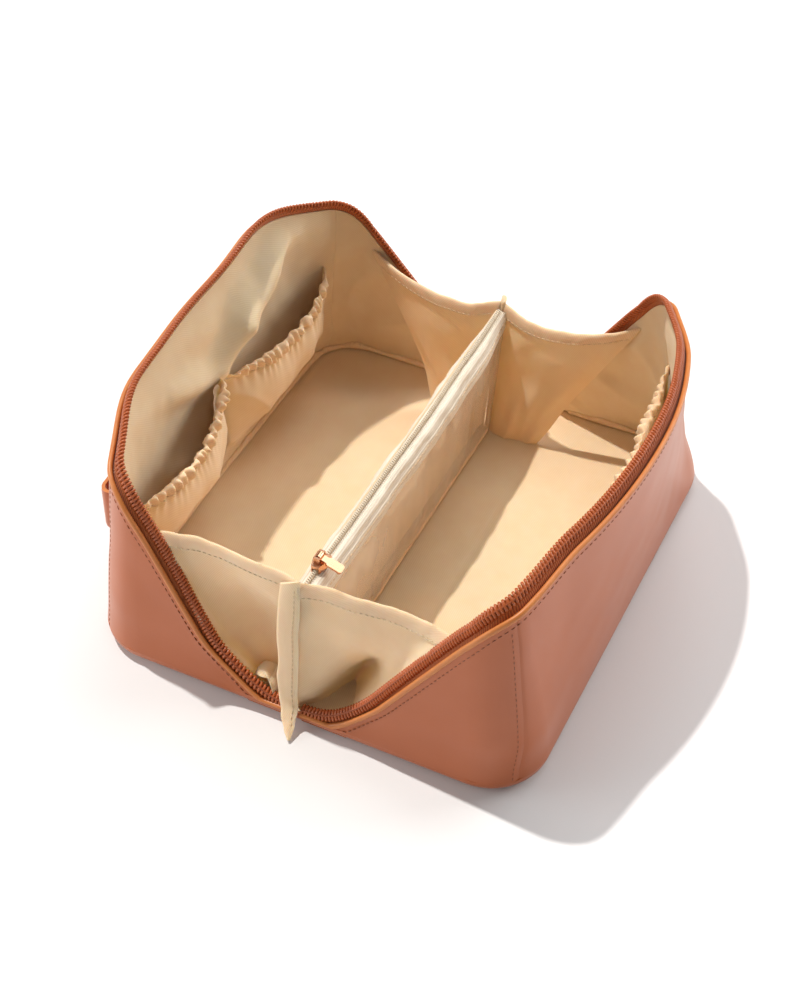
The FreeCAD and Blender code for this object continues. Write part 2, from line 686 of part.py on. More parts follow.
for item in doc.Objects:
    if "Invalid" in item.State or "Error" in item.State:
        raise RuntimeError(f"{item.Label} failed: {item.State}")
for piece in pieces:
    shape = piece.Shape
    if shape.isNull() or not shape.isValid() or len(shape.Solids) != 1:
        raise RuntimeError(f"{piece.Label} is not one sound solid: {len(shape.Solids)} solids")

os.makedirs("parts", exist_ok=True)
for piece in pieces:
    piece.Shape.exportStep(f"parts/{piece.Label}.step")
print(f"{len(pieces)} pieces written")
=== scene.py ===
"""A soft leather case that zips open wide, drawn over its CAD frame. Sizes are in millimetres unless said."""

import math

import bmesh
import bpy
from mathutils import Matrix, Vector, noise
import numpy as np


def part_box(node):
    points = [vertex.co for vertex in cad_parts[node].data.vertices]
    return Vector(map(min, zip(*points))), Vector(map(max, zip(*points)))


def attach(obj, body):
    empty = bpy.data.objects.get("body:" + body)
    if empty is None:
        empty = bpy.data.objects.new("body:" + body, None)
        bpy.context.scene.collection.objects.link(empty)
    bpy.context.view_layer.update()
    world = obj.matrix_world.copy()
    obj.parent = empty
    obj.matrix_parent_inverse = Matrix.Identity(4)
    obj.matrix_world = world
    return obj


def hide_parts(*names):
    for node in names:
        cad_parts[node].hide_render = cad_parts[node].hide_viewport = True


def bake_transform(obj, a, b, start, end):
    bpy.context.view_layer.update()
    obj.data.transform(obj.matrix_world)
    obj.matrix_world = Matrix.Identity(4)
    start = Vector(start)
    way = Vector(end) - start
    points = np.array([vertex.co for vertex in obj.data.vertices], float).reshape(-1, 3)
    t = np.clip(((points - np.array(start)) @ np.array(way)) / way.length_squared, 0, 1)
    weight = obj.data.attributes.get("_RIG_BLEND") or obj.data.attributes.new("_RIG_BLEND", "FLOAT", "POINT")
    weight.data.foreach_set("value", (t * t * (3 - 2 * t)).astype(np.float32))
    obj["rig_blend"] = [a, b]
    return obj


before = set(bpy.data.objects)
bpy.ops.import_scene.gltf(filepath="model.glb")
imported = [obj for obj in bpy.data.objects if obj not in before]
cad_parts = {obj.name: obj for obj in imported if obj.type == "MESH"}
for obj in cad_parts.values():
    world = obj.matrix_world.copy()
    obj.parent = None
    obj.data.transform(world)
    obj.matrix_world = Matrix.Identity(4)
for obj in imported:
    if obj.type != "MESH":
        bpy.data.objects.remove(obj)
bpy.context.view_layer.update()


# The base is one shallow tray of coated leather with a rounded bottom edge.
# It is pressed to shape over a stiff board, and the walls are sewn to its upper edge.
MM = 0.001


def linear(hex_code):
    """A colour written as sRGB hex, as linear values."""
    parts = [int(hex_code[i:i + 2], 16) / 255 for i in (1, 3, 5)]
    return [p / 12.92 if p <= 0.04045 else ((p + 0.055) / 1.055) ** 2.4 for p in parts] + [1.0]


def add(tree, kind, links=None, **settings):
    """Adds a node. Settings are its properties or inputs, and links join its inputs to other outputs."""
    made = tree.nodes.new(kind)
    for name, value in settings.items():
        if hasattr(made, name):
            setattr(made, name, value)
        else:
            made.inputs[name.replace("_", " ")].default_value = value
    for name, output in (links or {}).items():
        tree.links.new(output, made.inputs[name])
    return made


def new_material(name, **values):
    """A material with its node tree and its main shader, whose own inputs take the values."""
    material = bpy.data.materials.new(name)
    material.use_nodes = True
    shader = material.node_tree.nodes["Principled BSDF"]
    for socket, value in values.items():
        shader.inputs[socket.replace("_", " ")].default_value = value
    return material, material.node_tree, shader


# Coated leather: satin, slightly uneven in tone, with a pebble so fine that it only softens the shine.
leather, tree, shader = new_material("terracotta coated leather", IOR=1.5, Sheen_Weight=0.2,
                                     Sheen_Roughness=0.4)
place = add(tree, "ShaderNodeTexCoord")
cloud = add(tree, "ShaderNodeTexNoise", {"Vector": place.outputs["Object"]}, Scale=1 / (35.7 * MM),
            Detail=3.0)
tone = add(tree, "ShaderNodeMix", {"Factor": cloud.outputs["Fac"]}, data_type="RGBA",
           A=linear("#B15A29"), B=linear("#BD6535"))
tree.links.new(tone.outputs["Result"], shader.inputs["Base Color"])
# The real pebble is about 0.4 mm across; it is drawn at 0.9 mm so that it shows at all.
pebble = add(tree, "ShaderNodeTexVoronoi", {"Vector": place.outputs["Object"]}, Scale=1 / (0.9 * MM))
rise = add(tree, "ShaderNodeBump", {"Height": pebble.outputs["Distance"]}, Strength=0.12, Distance=0.1 * MM)
tree.links.new(rise.outputs["Normal"], shader.inputs["Normal"])
polish = add(tree, "ShaderNodeMapRange", {"Value": cloud.outputs["Fac"]}, To_Min=0.34, To_Max=0.46)
tree.links.new(polish.outputs["Result"], shader.inputs["Roughness"])

base_high = Vector(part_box("base_panel")[1]) / MM
half_wid = base_high.x
half_len = base_high.y
tray_ht = base_high.z
corner_rad = 30.0
edge_rad = 7.4
leather_th = 1.6
lean_ht = 110.0
top_mid_x = half_wid + 6
top_corner_x = half_wid - 15
top_end_y = half_len - 10
top_rad = 24.0
top_centre = Vector((top_corner_x - top_rad, top_end_y - top_rad))
across = top_centre.x - top_mid_x
side_rad = (top_rad ** 2 - across ** 2 - top_centre.y ** 2) / (2 * (across + top_rad))
side_turn = math.atan2(top_centre.y, top_centre.x - top_mid_x + side_rad)
seam_s = 1.56
seam_lean = 0.22
fold_ht = 70.0


def outline(s, lift):
    """A spot on the plan of the right half, at a share of the walls' height.
    s runs 0 to 1 along the front end, to 2 round the corner, to 3 along the side, and so on to 5.
    The corner seam is at seam_s and leans towards the side as it rises."""
    if s > 2.5:
        spot = outline(5 - s, lift)
        return Vector((spot.x, -spot.y))
    s += seam_lean * lift * max(0.0, 1 - abs(s - seam_s) / (2 - seam_s))
    if s <= 1:
        low = Vector((s * (half_wid - corner_rad), -half_len))
        high = Vector((s * top_centre.x, -top_end_y))
    elif s <= 2:
        quarter = math.pi / 2
        low_angle = -quarter * (2 - s)
        high_angle = -quarter + (quarter - side_turn) * (s - 1)
        low = Vector((half_wid - corner_rad + corner_rad * math.cos(low_angle),
                      corner_rad - half_len + corner_rad * math.sin(low_angle)))
        high = Vector((top_centre.x + top_rad * math.cos(high_angle),
                       -top_centre.y + top_rad * math.sin(high_angle)))
    else:
        low = Vector((half_wid, (2 * s - 5) * (half_len - corner_rad)))
        angle = (2 * s - 5) * side_turn
        high = Vector((top_mid_x - side_rad + side_rad * math.cos(angle), side_rad * math.sin(angle)))
    return low.lerp(high, lift)


def facing(s, lift):
    """The outward direction of the plan at s."""
    ahead = outline(min(s + 0.004, 5), lift) - outline(max(s - 0.004, 0), lift)
    return Vector((ahead.y, -ahead.x)).normalized()


def wall_spot(s, z, inset):
    """A point of the right half's wall, drawn in from its outer face."""
    lift = (z - tray_ht) / lean_ht
    plan = outline(s, lift) - facing(s, lift) * inset
    return Vector((plan.x, plan.y, z))


def steps(low, high, count):
    """Evenly spaced values from low to high."""
    return [low + (high - low) * i / count for i in range(count + 1)]


def build(name, points, faces, material, uvs=None, crease=50):
    """A mesh piece from points in millimetres. uvs are the places on the flat cut, point by point."""
    mesh = bpy.data.meshes.new(name)
    mesh.from_pydata([p * MM for p in points], [], faces)
    mesh.materials.append(material)
    if uvs:
        layer = mesh.uv_layers.new(name="flat cut")
        for loop in mesh.loops:
            layer.data[loop.index].uv = uvs[loop.vertex_index] * MM
    shaped = bmesh.new()
    shaped.from_mesh(mesh)
    bmesh.ops.recalc_face_normals(shaped, faces=shaped.faces)
    shaped.to_mesh(mesh)
    shaped.free()
    mesh.polygons.foreach_set("use_smooth", [True] * len(mesh.polygons))
    mesh.set_sharp_from_angle(angle=math.radians(crease))
    piece = bpy.data.objects.new(name, mesh)
    bpy.context.scene.collection.objects.link(piece)
    return piece


def flat_cut(rows):
    """Where each point of a grid lies on the flat cut, from the distances along its rows and columns."""
    middle = rows[len(rows) // 2]
    run = [0.0]
    for i in range(1, len(middle)):
        run.append(run[-1] + (middle[i] - middle[i - 1]).length)
    uvs = []
    rise = [0.0] * len(middle)
    for j, row in enumerate(rows):
        if j:
            rise = [r + (a - b).length for r, a, b in zip(rise, row, rows[j - 1])]
        uvs += [Vector((u, v)) for u, v in zip(run, rise)]
    return uvs


def sewn_sheet(name, face, back, material, ring=False, crease=50):
    """A closed sheet between two grids of points with the same rows. A ring's rows join end to end."""
    wide, high = len(face[0]), len(face)
    count = wide * high
    points = [p for row in face for p in row] + [p for row in back for p in row]
    faces = []
    for j in range(high - 1):
        for i in range(wide if ring else wide - 1):
            a, b = j * wide + i, j * wide + (i + 1) % wide
            faces += [(a, b, b + wide, a + wide), (count + a, count + a + wide, count + b + wide, count + b)]
    rim = [(i, (i + 1) % wide) for i in range(wide if ring else wide - 1)]
    rim += [(a + count - wide, b + count - wide) for a, b in rim]
    if not ring:
        for j in range(high - 1):
            rim += [(j * wide, (j + 1) * wide), (j * wide + wide - 1, (j + 2) * wide - 1)]
    faces += [(a, b, count + b, count + a) for a, b in rim]
    cut = flat_cut(face)
    return build(name, points, faces, material, cut + cut, crease)


def closed_plan(inset, z):
    """A ring of points round the plan of the tray's upper edge, drawn in and moved to a height."""
    half = [wall_spot(s, tray_ht, inset) for s in steps(0, 5, 108)]
    ring = half[:-1] + [Vector((-p.x, p.y, p.z)) for p in half[:0:-1]]
    return [Vector((p.x, p.y, z)) for p in ring]


def tray_rings(inset, rad):
    """Rings from the tray's upper edge, round its bottom edge and in to the middle of its floor."""
    rings = [closed_plan(inset, tray_ht)]
    for angle in steps(0, math.pi / 2, 8):
        rings.append(closed_plan(edge_rad - rad * math.cos(angle), edge_rad - rad * math.sin(angle)))
    floor_edge = rings[-1]
    for share in (0.75, 0.5, 0.25, 0.02):
        rings.append([Vector((p.x * share, p.y * share, p.z)) for p in floor_edge])
    return rings


def fit(piece, node=None, side=None):
    """Hides the CAD node that a piece stands for, if one is given. With a side, its foot stays on the base
    and it turns with that wall higher up. Without one, it rides on the base."""
    if node:
        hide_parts(node)
    if side:
        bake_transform(piece, "base", f"{side}_wall", (0, 0, tray_ht * MM), (0, 0, fold_ht * MM))
    else:
        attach(piece, "base")


outer_rings, inner_rings = tray_rings(0, edge_rad), tray_rings(leather_th, edge_rad - leather_th)
fit(sewn_sheet("base_tray", outer_rings, inner_rings, leather, ring=True), "base_panel")


# The board in the tray is grey packing board, cut to the tray's floor.
# It keeps the base flat and is hidden under the lining.
# Packing board: matt grey, flecked with its fibres.
board, tree, shader = new_material("grey board", Roughness=0.9)
place = add(tree, "ShaderNodeTexCoord")
fibre = add(tree, "ShaderNodeTexNoise", {"Vector": place.outputs["Object"]}, Scale=1 / (1.43 * MM),
            Detail=4.0)
tone = add(tree, "ShaderNodeMix", {"Factor": fibre.outputs["Fac"]}, data_type="RGBA",
           A=linear("#7D766A"), B=linear("#968E80"))
tree.links.new(tone.outputs["Result"], shader.inputs["Base Color"])


def dress(node, material):
    """Puts a material on a CAD node that is shown as it is."""
    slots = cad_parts[node].data.materials
    slots.clear()
    slots.append(material)


dress("base_board", board)


# The walls are two leather panels, each running round to the middle of its corners and leaning out.
# Their upper edge follows the zip: low at the ends, sloping up to the corners, and arched along the side.
rim_gap = 26.0
rim_dip = 4.0
foot_round = 18.0
rim_corner = (half_wid - 26, 112.5)
rim_mid = (half_wid + 6, 120.0)
rim_round = 30.0
slope = math.atan2(rim_corner[1] - tray_ht, rim_corner[0] - rim_gap)
arch = math.atan2(rim_mid[1] - rim_corner[1], rim_mid[0] - rim_corner[0])


def rim_height(x, lift):
    """The height of the rim above a place across the case, moved out by a lift."""
    back = rim_round * math.tan((slope - arch) / 2)
    round_x = rim_corner[0] - back * math.cos(slope) + rim_round * math.sin(slope)
    round_z = rim_corner[1] - back * math.sin(slope) - rim_round * math.cos(slope)
    rad = rim_round + lift
    foot_x = rim_gap - rim_dip / math.tan(slope) - foot_round * math.tan(slope / 2)
    foot_z = tray_ht - rim_dip + foot_round
    foot_rad = foot_round - lift
    if x < foot_x:
        return foot_z - foot_rad
    if x < foot_x + foot_rad * math.sin(slope):
        return foot_z - math.sqrt(foot_rad ** 2 - (x - foot_x) ** 2)
    start = round_x - rad * math.sin(slope)
    if x < start:
        return round_z + rad * math.cos(slope) + (x - start) * math.tan(slope)
    end = round_x - rad * math.sin(arch)
    if x < end:
        return round_z + math.sqrt(rad ** 2 - (x - round_x) ** 2)
    return round_z + rad * math.cos(arch) + (x - end) * math.tan(arch)


marks_per_s = 100
rim_ease = 10.0
rim_marks = steps(0, 5, 5 * marks_per_s)
rim_run = [0.0]
for a, b in zip(rim_marks, rim_marks[1:]):
    rim_run.append(rim_run[-1] + (outline(b, 0.8) - outline(a, 0.8)).length)
eased_rims = {}


def bump(off, half):
    """1 in the middle of a bump, dying away on both sides of it."""
    return math.exp(-(off / half) ** 2)


def at_mark(values, s):
    """The value at s, from a list of values at the rim's marks."""
    i = min(len(values) - 2, int(s * marks_per_s))
    return values[i] + (values[i + 1] - values[i]) * (s * marks_per_s - i)


def rim_z(s, lift):
    """The rim's height at s. The zip is too stiff for tight bends, so the rim is eased over about 10 mm."""
    if lift not in eased_rims:
        sharp = []
        for mark in rim_marks:
            z = 60.0
            for _ in range(14):
                z = rim_height(wall_spot(mark, z, 0).x, lift)
            sharp.append(z)
        eased_rims[lift] = []
        for i, here in enumerate(rim_run):
            near = range(max(0, i - 90), min(len(rim_run), i + 91))
            weights = []
            for k in near:
                width = rim_run[min(k + 1, len(rim_run) - 1)] - rim_run[max(k - 1, 0)]
                weights.append(bump(rim_run[k] - here, rim_ease) * width)
            eased_rims[lift].append(sum(w * sharp[k] for w, k in zip(weights, near)) / sum(weights))
    return at_mark(eased_rims[lift], s)


def ramp(value, low, high):
    """Eased from 0 at low to 1 at high."""
    t = min(1.0, max(0.0, (value - low) / (high - low)))
    return t * t * (3 - 2 * t)


def mirrored(side, way):
    """A direction on the right or the left half."""
    return way if side == "right" else Vector((-way.x, way.y, way.z))


# How far the soft case strays from its pattern, end by end and side by side.
end_lean = 5.0
right_spread, right_draw, right_swell = 5.5, 6.5, 0.8
left_sway, left_push, left_flare, left_arch = 8.0, 7.0, 4.5, 7.0


def sided(side, point):
    """A point on the right or the left half, as the soft case really stands: pulled apart at the front,
    closer together at the rear, and with its left wall pushed out and up by the rear pocket."""
    p = mirrored(side, point)
    rise = max(0.0, (p.z - tray_ht) / lean_ht)
    loose = ramp(p.z, tray_ht, 36) * ramp(abs(p.x), 4, 26)
    front, rear = ramp(-p.y, 70, 116), ramp(p.y, 70, 116)
    p = p + Vector((0, -end_lean * rise * front * loose, 0))
    if side == "right":
        pull = right_spread * front * (0.55 + 0.45 * rise) - right_draw * rear * (0.6 + 0.4 * rise)
        return p + Vector((loose * pull + right_swell * rise * bump(p.y - 35, 35), 0, 0))
    low_down = 1 - ramp(abs(p.x), 35, 92)
    shift = left_sway * loose * low_down * (rear - front)
    shift -= left_push * rise * bump(p.y - 72, 34) + left_flare * rise * rise * bump(p.y + 72, 26)
    return p + Vector((shift, 0, left_arch * rise * rise * bump(p.y - 70, 30)))


def dent(point):
    """How far the soft leather stands in or out."""
    return 1.1 * noise.noise(point / 48) + 0.35 * noise.noise(point / 17)


def panel_rows(columns, drop, inset, count, shift=None):
    """A grid of the right half's wall up to the rim lowered by a drop. shift adds to the inset."""
    tops = [max(rim_z(s, -drop), tray_ht) for s in columns]
    rows = []
    for v in steps(0, 1, count):
        row = []
        for s, top in zip(columns, tops):
            z = tray_ht + (top - tray_ht) * v
            extra = shift(s, z, v) if shift else 0.0
            row.append(wall_spot(s, z, inset + extra))
        rows.append(row)
    return rows


corner_run = 38.0
seam_valley, valley_half = 0.4, 1.3


def leather_shift(s, z, v):
    """The leather's soft dents, and the valley where two panels meet at a corner seam."""
    off = min(abs(s - seam_s), abs(s - (5 - seam_s))) * corner_run
    return dent(wall_spot(s, z, 0)) * 4 * v * (1 - v) + seam_valley * bump(off, valley_half)


near_seam = [0.02, 0.04, 0.07, 0.11, 0.16, 0.24, 0.33, 0.42]
corner_in = [seam_s + d for d in near_seam]
wall_columns = [seam_s] + corner_in + steps(2, 3, 40) + [5 - s for s in corner_in[::-1]] + [5 - seam_s]
foot_s = next(s for s in steps(0, 1, 400) if rim_z(s, 0) > tray_ht + 0.3)
end_columns = steps(foot_s, 1, 44) + [seam_s - d for d in near_seam[::-1]] + [seam_s]
sides = ("left", "right")
ends = ("front", "rear")


def on_side(side, rows, end="front"):
    """A grid of the right half on either side. What belongs to the front end can go to the rear one."""
    along = 1 if end == "front" else -1
    return [[sided(side, Vector((p.x, along * p.y, p.z))) for p in row] for row in rows]


def both_faces(side, columns, drop, inset, thick, count, shift=None, end="front"):
    """The two faces of a panel on one side, the outer one drawn in by an inset."""
    grids = [panel_rows(columns, drop, deep, count, shift) for deep in (inset, inset + thick)]
    return [on_side(side, rows, end) for rows in grids]


for side in sides:
    faces = both_faces(side, wall_columns, 0, 0, leather_th, 26, leather_shift)
    fit(sewn_sheet(f"{side}_wall_leather", *faces, leather), f"{side}_wall_panel", side)


# The ends are four leather panels, sewn to the walls at the corner seams.
# Each is cut off along the zip's slope, so that the case opens right down to its base.
for side in sides:
    for end in ends:
        faces = both_faces(side, end_columns, 0, 0, leather_th, 20, leather_shift, end)
        panel = sewn_sheet(f"{end}_{side}_end_leather", *faces, leather)
        fit(panel, f"{end}_{side}_end_panel", side)


# The stiffeners are thin board between each wall's leather and its lining.
# They are glued in before the lining goes on, and nothing of them shows.
stiffener_in = leather_th + 0.2
stiffener_th = 1.2
stiffener_drop = 8.0
stiff_columns = [seam_s + 0.1] + steps(2, 3, 16) + [5 - seam_s - 0.1]
for side in sides:
    faces = both_faces(side, stiff_columns, stiffener_drop, stiffener_in, stiffener_th, 10)
    fit(sewn_sheet(f"{side}_stiffener", *faces, board), f"{side}_wall_stiffener", side)


# The leather is sewn with brown thread: down each corner seam and along the rim below its turned edge.
# The stitches are lockstitch, about 3.4 mm from hole to hole.
# Waxed thread: a dull brown strand. The light and shade of its twist are painted into its colour as lighter
# and darker diagonal bands.
brown_thread, tree, shader = new_material("brown sewing thread", Roughness=0.6)
place = add(tree, "ShaderNodeTexCoord")
# The real twist is about 0.3 mm long; it is drawn at 0.8 mm.
twist_light_and_shade = add(tree, "ShaderNodeTexWave", {"Vector": place.outputs["Object"]}, Scale=0.444 / (0.8 * MM),
            bands_direction="DIAGONAL")
# Painted light and shade of the twist: the bands mix a darker and a lighter brown.
tone = add(tree, "ShaderNodeMix", {"Factor": twist_light_and_shade.outputs["Fac"]}, data_type="RGBA",
           A=linear("#87492C"), B=linear("#A2633F"))
tree.links.new(tone.outputs["Result"], shader.inputs["Base Color"])


def spaced(points, outs, pitch, start=0.0):
    """Places a pitch apart along a line: each a point, the way ahead and the way out."""
    found = []
    travelled, wanted = 0.0, start
    for a, b, m, n in zip(points, points[1:], outs, outs[1:]):
        length = (b - a).length
        while length > 1e-6 and travelled + length >= wanted:
            share = (wanted - travelled) / length
            found.append((a.lerp(b, share), (b - a).normalized(), m.lerp(n, share).normalized()))
            wanted += pitch
        travelled += length
    return found


def round_about(count):
    """The angles of a count of points round a section."""
    return steps(0, math.tau, count)[:-1]


def bar_faces(first, rings, around):
    """The faces of a closed bar whose points stand in rings, one after another."""
    faces = []
    for j in range(rings - 1):
        for k in range(around):
            a, b = first + around * j + k, first + around * j + (k + 1) % around
            faces.append((a, b, b + around, a + around))
    last = first + around * (rings - 1)
    return faces + [tuple(range(first, first + around)), tuple(range(last, last + around))]


# Places along one stitch: how far along it, how fat there and how deep in the leather.
stitch_shape = ((-0.5, 0.3, 0.5), (-0.36, 0.85, 0.1), (0, 1, 0), (0.36, 0.85, 0.1), (0.5, 0.3, 0.5))


def stitch_row(name, points, outs, material, pitch=3.4, length=2.4, thick=0.55):
    """A row of stitches that lie on a line, each dipping in at its ends."""
    verts, faces = [], []
    for spot, ahead, out in spaced(points, outs, pitch, pitch / 2):
        beside = ahead.cross(out).normalized()
        faces += bar_faces(len(verts), len(stitch_shape), 6)
        for along, fat, sunk in stitch_shape:
            middle = spot + ahead * along * length - out * sunk * thick
            for angle in round_about(6):
                verts.append(middle + (beside * math.cos(angle) + out * math.sin(angle)) * fat * thick / 2)
    return build(name, verts, faces, material, crease=80)


def out_of(s, z):
    """The wall's outward direction as a vector in space."""
    plan = facing(s, (z - tray_ht) / lean_ht)
    return Vector((plan.x, plan.y, 0.12)).normalized()


def seam_line(s):
    """A line up the outer face at s, with its outward directions."""
    top = rim_z(s, -3.5)
    heights = steps(tray_ht - 1, top, 40)
    points = []
    for z in heights:
        v = max(0.0, (z - tray_ht) / (rim_z(s, 0) - tray_ht))
        points.append(wall_spot(s, max(z, tray_ht), leather_shift(s, max(z, tray_ht), v)))
    return points, [out_of(s, z) for z in heights]


lean_lift, lean_fade = 6.0, 0.5


def leant(s, lift, lean):
    """How far something at a lift above the rim tips in: by the lean at lean_lift, and less towards the
    two feet of the zip."""
    fade = ramp(s, foot_s, foot_s + lean_fade) * ramp(5 - s, foot_s, foot_s + lean_fade)
    return lean * max(0.0, lift) / lean_lift * fade


def rim_line(columns, lift, inset, lean=0.0):
    """A line along the rim, with its outward directions."""
    heights = [max(rim_z(s, lift), tray_ht + 0.4) for s in columns]
    points = [wall_spot(s, z, inset + leant(s, lift, lean)) for s, z in zip(columns, heights)]
    return points, [out_of(s, z) for s, z in zip(columns, heights)]


rim_columns = steps(0.03, 1, 70) + steps(1, 2, 36)[1:] + steps(2, 2.5, 24)[1:]
rim_columns += [5 - s for s in rim_columns[-2::-1]]
stitch_columns = [s for s in rim_columns if foot_s + 0.03 < s < 5 - foot_s - 0.03]
stitch_lines = {
    "front_{}_seam_stitches": seam_line(seam_s - 0.07),
    "rear_{}_seam_stitches": seam_line(5 - seam_s + 0.07),
    "{}_rim_stitches": rim_line(stitch_columns, -3.0, -0.05),
}
for side in sides:
    for name, (points, outs) in stitch_lines.items():
        row = stitch_row(name.format(side), [sided(side, p) for p in points],
                         [mirrored(side, out) for out in outs], brown_thread)
        fit(row, side=side)


# The rim has a turned leather edge, bright where the colour of its cut side shows.
# It is folded over the leather's own edge and runs from the base over the wall and down again.
# Edge leather: the same skin dyed orange, rubbed smooth, with a soft gloss.
edge_leather, tree, shader = new_material("orange turned leather edge")
place = add(tree, "ShaderNodeTexCoord")
rub = add(tree, "ShaderNodeTexNoise", {"Vector": place.outputs["Object"]}, Scale=1 / (6.25 * MM),
          Detail=3.0)
tone = add(tree, "ShaderNodeMix", {"Factor": rub.outputs["Fac"]}, data_type="RGBA",
           A=linear("#C06A30"), B=linear("#D28746"))
tree.links.new(tone.outputs["Result"], shader.inputs["Base Color"])
gloss = add(tree, "ShaderNodeMapRange", {"Value": rub.outputs["Fac"]}, To_Min=0.34, To_Max=0.5)
tree.links.new(gloss.outputs["Result"], shader.inputs["Roughness"])


def rim_band(columns, profile, lean=0.0):
    """Lines of a band along the rim. The profile is a ring of lifts above the leather's edge and insets."""
    rows = []
    for lift, inset in profile:
        heights = [max(rim_z(s, lift), tray_ht - 0.6 + 0.7 * lift) for s in columns]
        rows.append([wall_spot(s, z, inset + leant(s, lift, lean)) for s, z in zip(columns, heights)])
    return rows


def swept(name, rows, material, crease=50):
    """A closed bar whose rows are the lines along it, in order round its section."""
    wide, high = len(rows[0]), len(rows)
    points = [p for row in rows for p in row]
    faces = []
    for j in range(high):
        below, above = j * wide, (j + 1) % high * wide
        faces += [(below + i, below + i + 1, above + i + 1, above + i) for i in range(wide - 1)]
    faces += [tuple(j * wide for j in range(high)), tuple(j * wide + wide - 1 for j in range(high))]
    return build(name, points, faces, material, flat_cut(rows), crease)


edging_profile = [(-0.2, 1.6), (1.2, 1.7), (2.1, 1.4), (2.6, 0.8), (2.6, 0.0), (2.0, -0.7), (0.9, -0.8),
                  (0.0, -0.45), (-0.3, 0.4)]
edging_rows = rim_band(rim_columns, edging_profile)
for side in sides:
    edging = swept(f"{side}_turned_edge", on_side(side, edging_rows), edge_leather, crease=70)
    fit(edging, f"{side}_rim_edging", side)


# The main zip is sewn inside the turned edge and leans in over the opening: a woven tape and a nylon coil.
# The coil is one stiff thread wound as a spring round a filler cord. A thinner cord holds it down outside.
# Woven tape: orange-brown, matt, ribbed across at the pitch of its weft.
zip_tape, tree, shader = new_material("brown woven zip tape", Roughness=0.8, Sheen_Weight=0.2)
place = add(tree, "ShaderNodeTexCoord")
# The real rib is about 0.5 mm; it is drawn at 1.2 mm.
rib = add(tree, "ShaderNodeTexWave", {"Vector": place.outputs["UV"]}, Scale=0.314 / (1.2 * MM),
          Distortion=0.6)
tone = add(tree, "ShaderNodeMix", {"Factor": rib.outputs["Fac"]}, data_type="RGBA",
           A=linear("#974719"), B=linear("#C26B2F"))
tree.links.new(tone.outputs["Result"], shader.inputs["Base Color"])
rise = add(tree, "ShaderNodeBump", {"Height": rib.outputs["Fac"]}, Strength=0.5, Distance=0.2 * MM)
tree.links.new(rise.outputs["Normal"], shader.inputs["Normal"])

# Nylon coil: red-brown, smooth enough for small bright lights on every turn.
zip_coil, tree, shader = new_material("red-brown nylon coil", Roughness=0.34, IOR=1.53)
place = add(tree, "ShaderNodeTexCoord")
dye = add(tree, "ShaderNodeTexNoise", {"Vector": place.outputs["Object"]}, Scale=1 / (4.55 * MM))
tone = add(tree, "ShaderNodeMix", {"Factor": dye.outputs["Fac"]}, data_type="RGBA",
           A=linear("#A44D20"), B=linear("#C06431"))
tree.links.new(tone.outputs["Result"], shader.inputs["Base Color"])


def tube(name, line, radius, material):
    """A round thread along a line of points."""
    verts = []
    side_way = None
    for i, spot in enumerate(line):
        ahead = (line[min(i + 1, len(line) - 1)] - line[max(i - 1, 0)]).normalized()
        if side_way is None:
            side_way = ahead.orthogonal().normalized()
        side_way = (side_way - ahead * side_way.dot(ahead)).normalized()
        other = ahead.cross(side_way)
        for angle in round_about(6):
            verts.append(spot + (side_way * math.cos(angle) + other * math.sin(angle)) * radius)
    return build(name, verts, bar_faces(0, len(line), 6), material, crease=80)


def wound(points, outs, pitch, wide, deep, tilt=0.0, turn_steps=8):
    """The line of a coil wound round a path: half its width beside the path and half its depth out of it.
    The tilt turns its upper side in."""
    line = []
    for i, (spot, ahead, out) in enumerate(spaced(points, outs, pitch / turn_steps)):
        angle = math.tau * i / turn_steps
        beside = ahead.cross(out)
        flat = beside * math.cos(tilt) + out * math.sin(tilt)
        proud = out * math.cos(tilt) - beside * math.sin(tilt)
        line.append(spot + flat * wide * math.cos(angle) + proud * deep * math.sin(angle))
    return line


tape_in = leather_th + 0.2
tape_th = 0.9
tape_lifts = (-7, 0, 3, 5.8)
zip_lean = 2.8
zip_profile = [(lift, tape_in) for lift in tape_lifts]
zip_profile += [(lift, tape_in + tape_th) for lift in tape_lifts[::-1]]
tape_rows = rim_band(rim_columns, zip_profile, zip_lean)
coil_rise = tape_lifts[-1]
coil_mid = tape_in + tape_th / 2
coil_pitch, coil_half_wid, coil_half_deep, coil_tilt, coil_rad = 1.9, 2.4, 0.75, 0.62, 0.8
filler_rad, cord_rad = 1.15, 0.4
coil_line = rim_line(rim_columns, coil_rise, coil_mid, zip_lean)
coil_turns = wound(*coil_line, coil_pitch, coil_half_wid, coil_half_deep, coil_tilt)
out_line = rim_line(rim_columns, coil_rise + 0.8, coil_mid - 1.1, zip_lean)
cords = {"core": (coil_line[0], filler_rad), "out": (out_line[0], cord_rad)}
for side in sides:
    tape = swept(f"{side}_zip_tape_band", on_side(side, tape_rows), zip_tape)
    fit(tape, f"{side}_zip_tape", side)
    for name, (line, radius) in cords.items():
        cord = tube(f"{side}_zip_cord_{name}", [sided(side, p) for p in line], radius, zip_tape)
        fit(cord, side=side)
    coil = tube(f"{side}_zip_teeth", [sided(side, p) for p in coil_turns], coil_rad, zip_coil)
    fit(coil, f"{side}_zip_coil", side)


# The lining of the walls and ends is beige twill, cut a little loose and sewn in along the zip tape.
# It is held to the floor's edge and to the pockets, and lies in soft folds between them.
# Twill: matt beige cotton with fine diagonal ribs, thin enough that light from behind glows through it.
twill, tree, shader = new_material("beige cotton twill", Roughness=0.85, Sheen_Weight=0.1,
                                   Subsurface_Weight=0.45, Subsurface_Radius=(1.0, 0.68, 0.36),
                                   Subsurface_Scale=2.5 * MM)
place = add(tree, "ShaderNodeTexCoord")
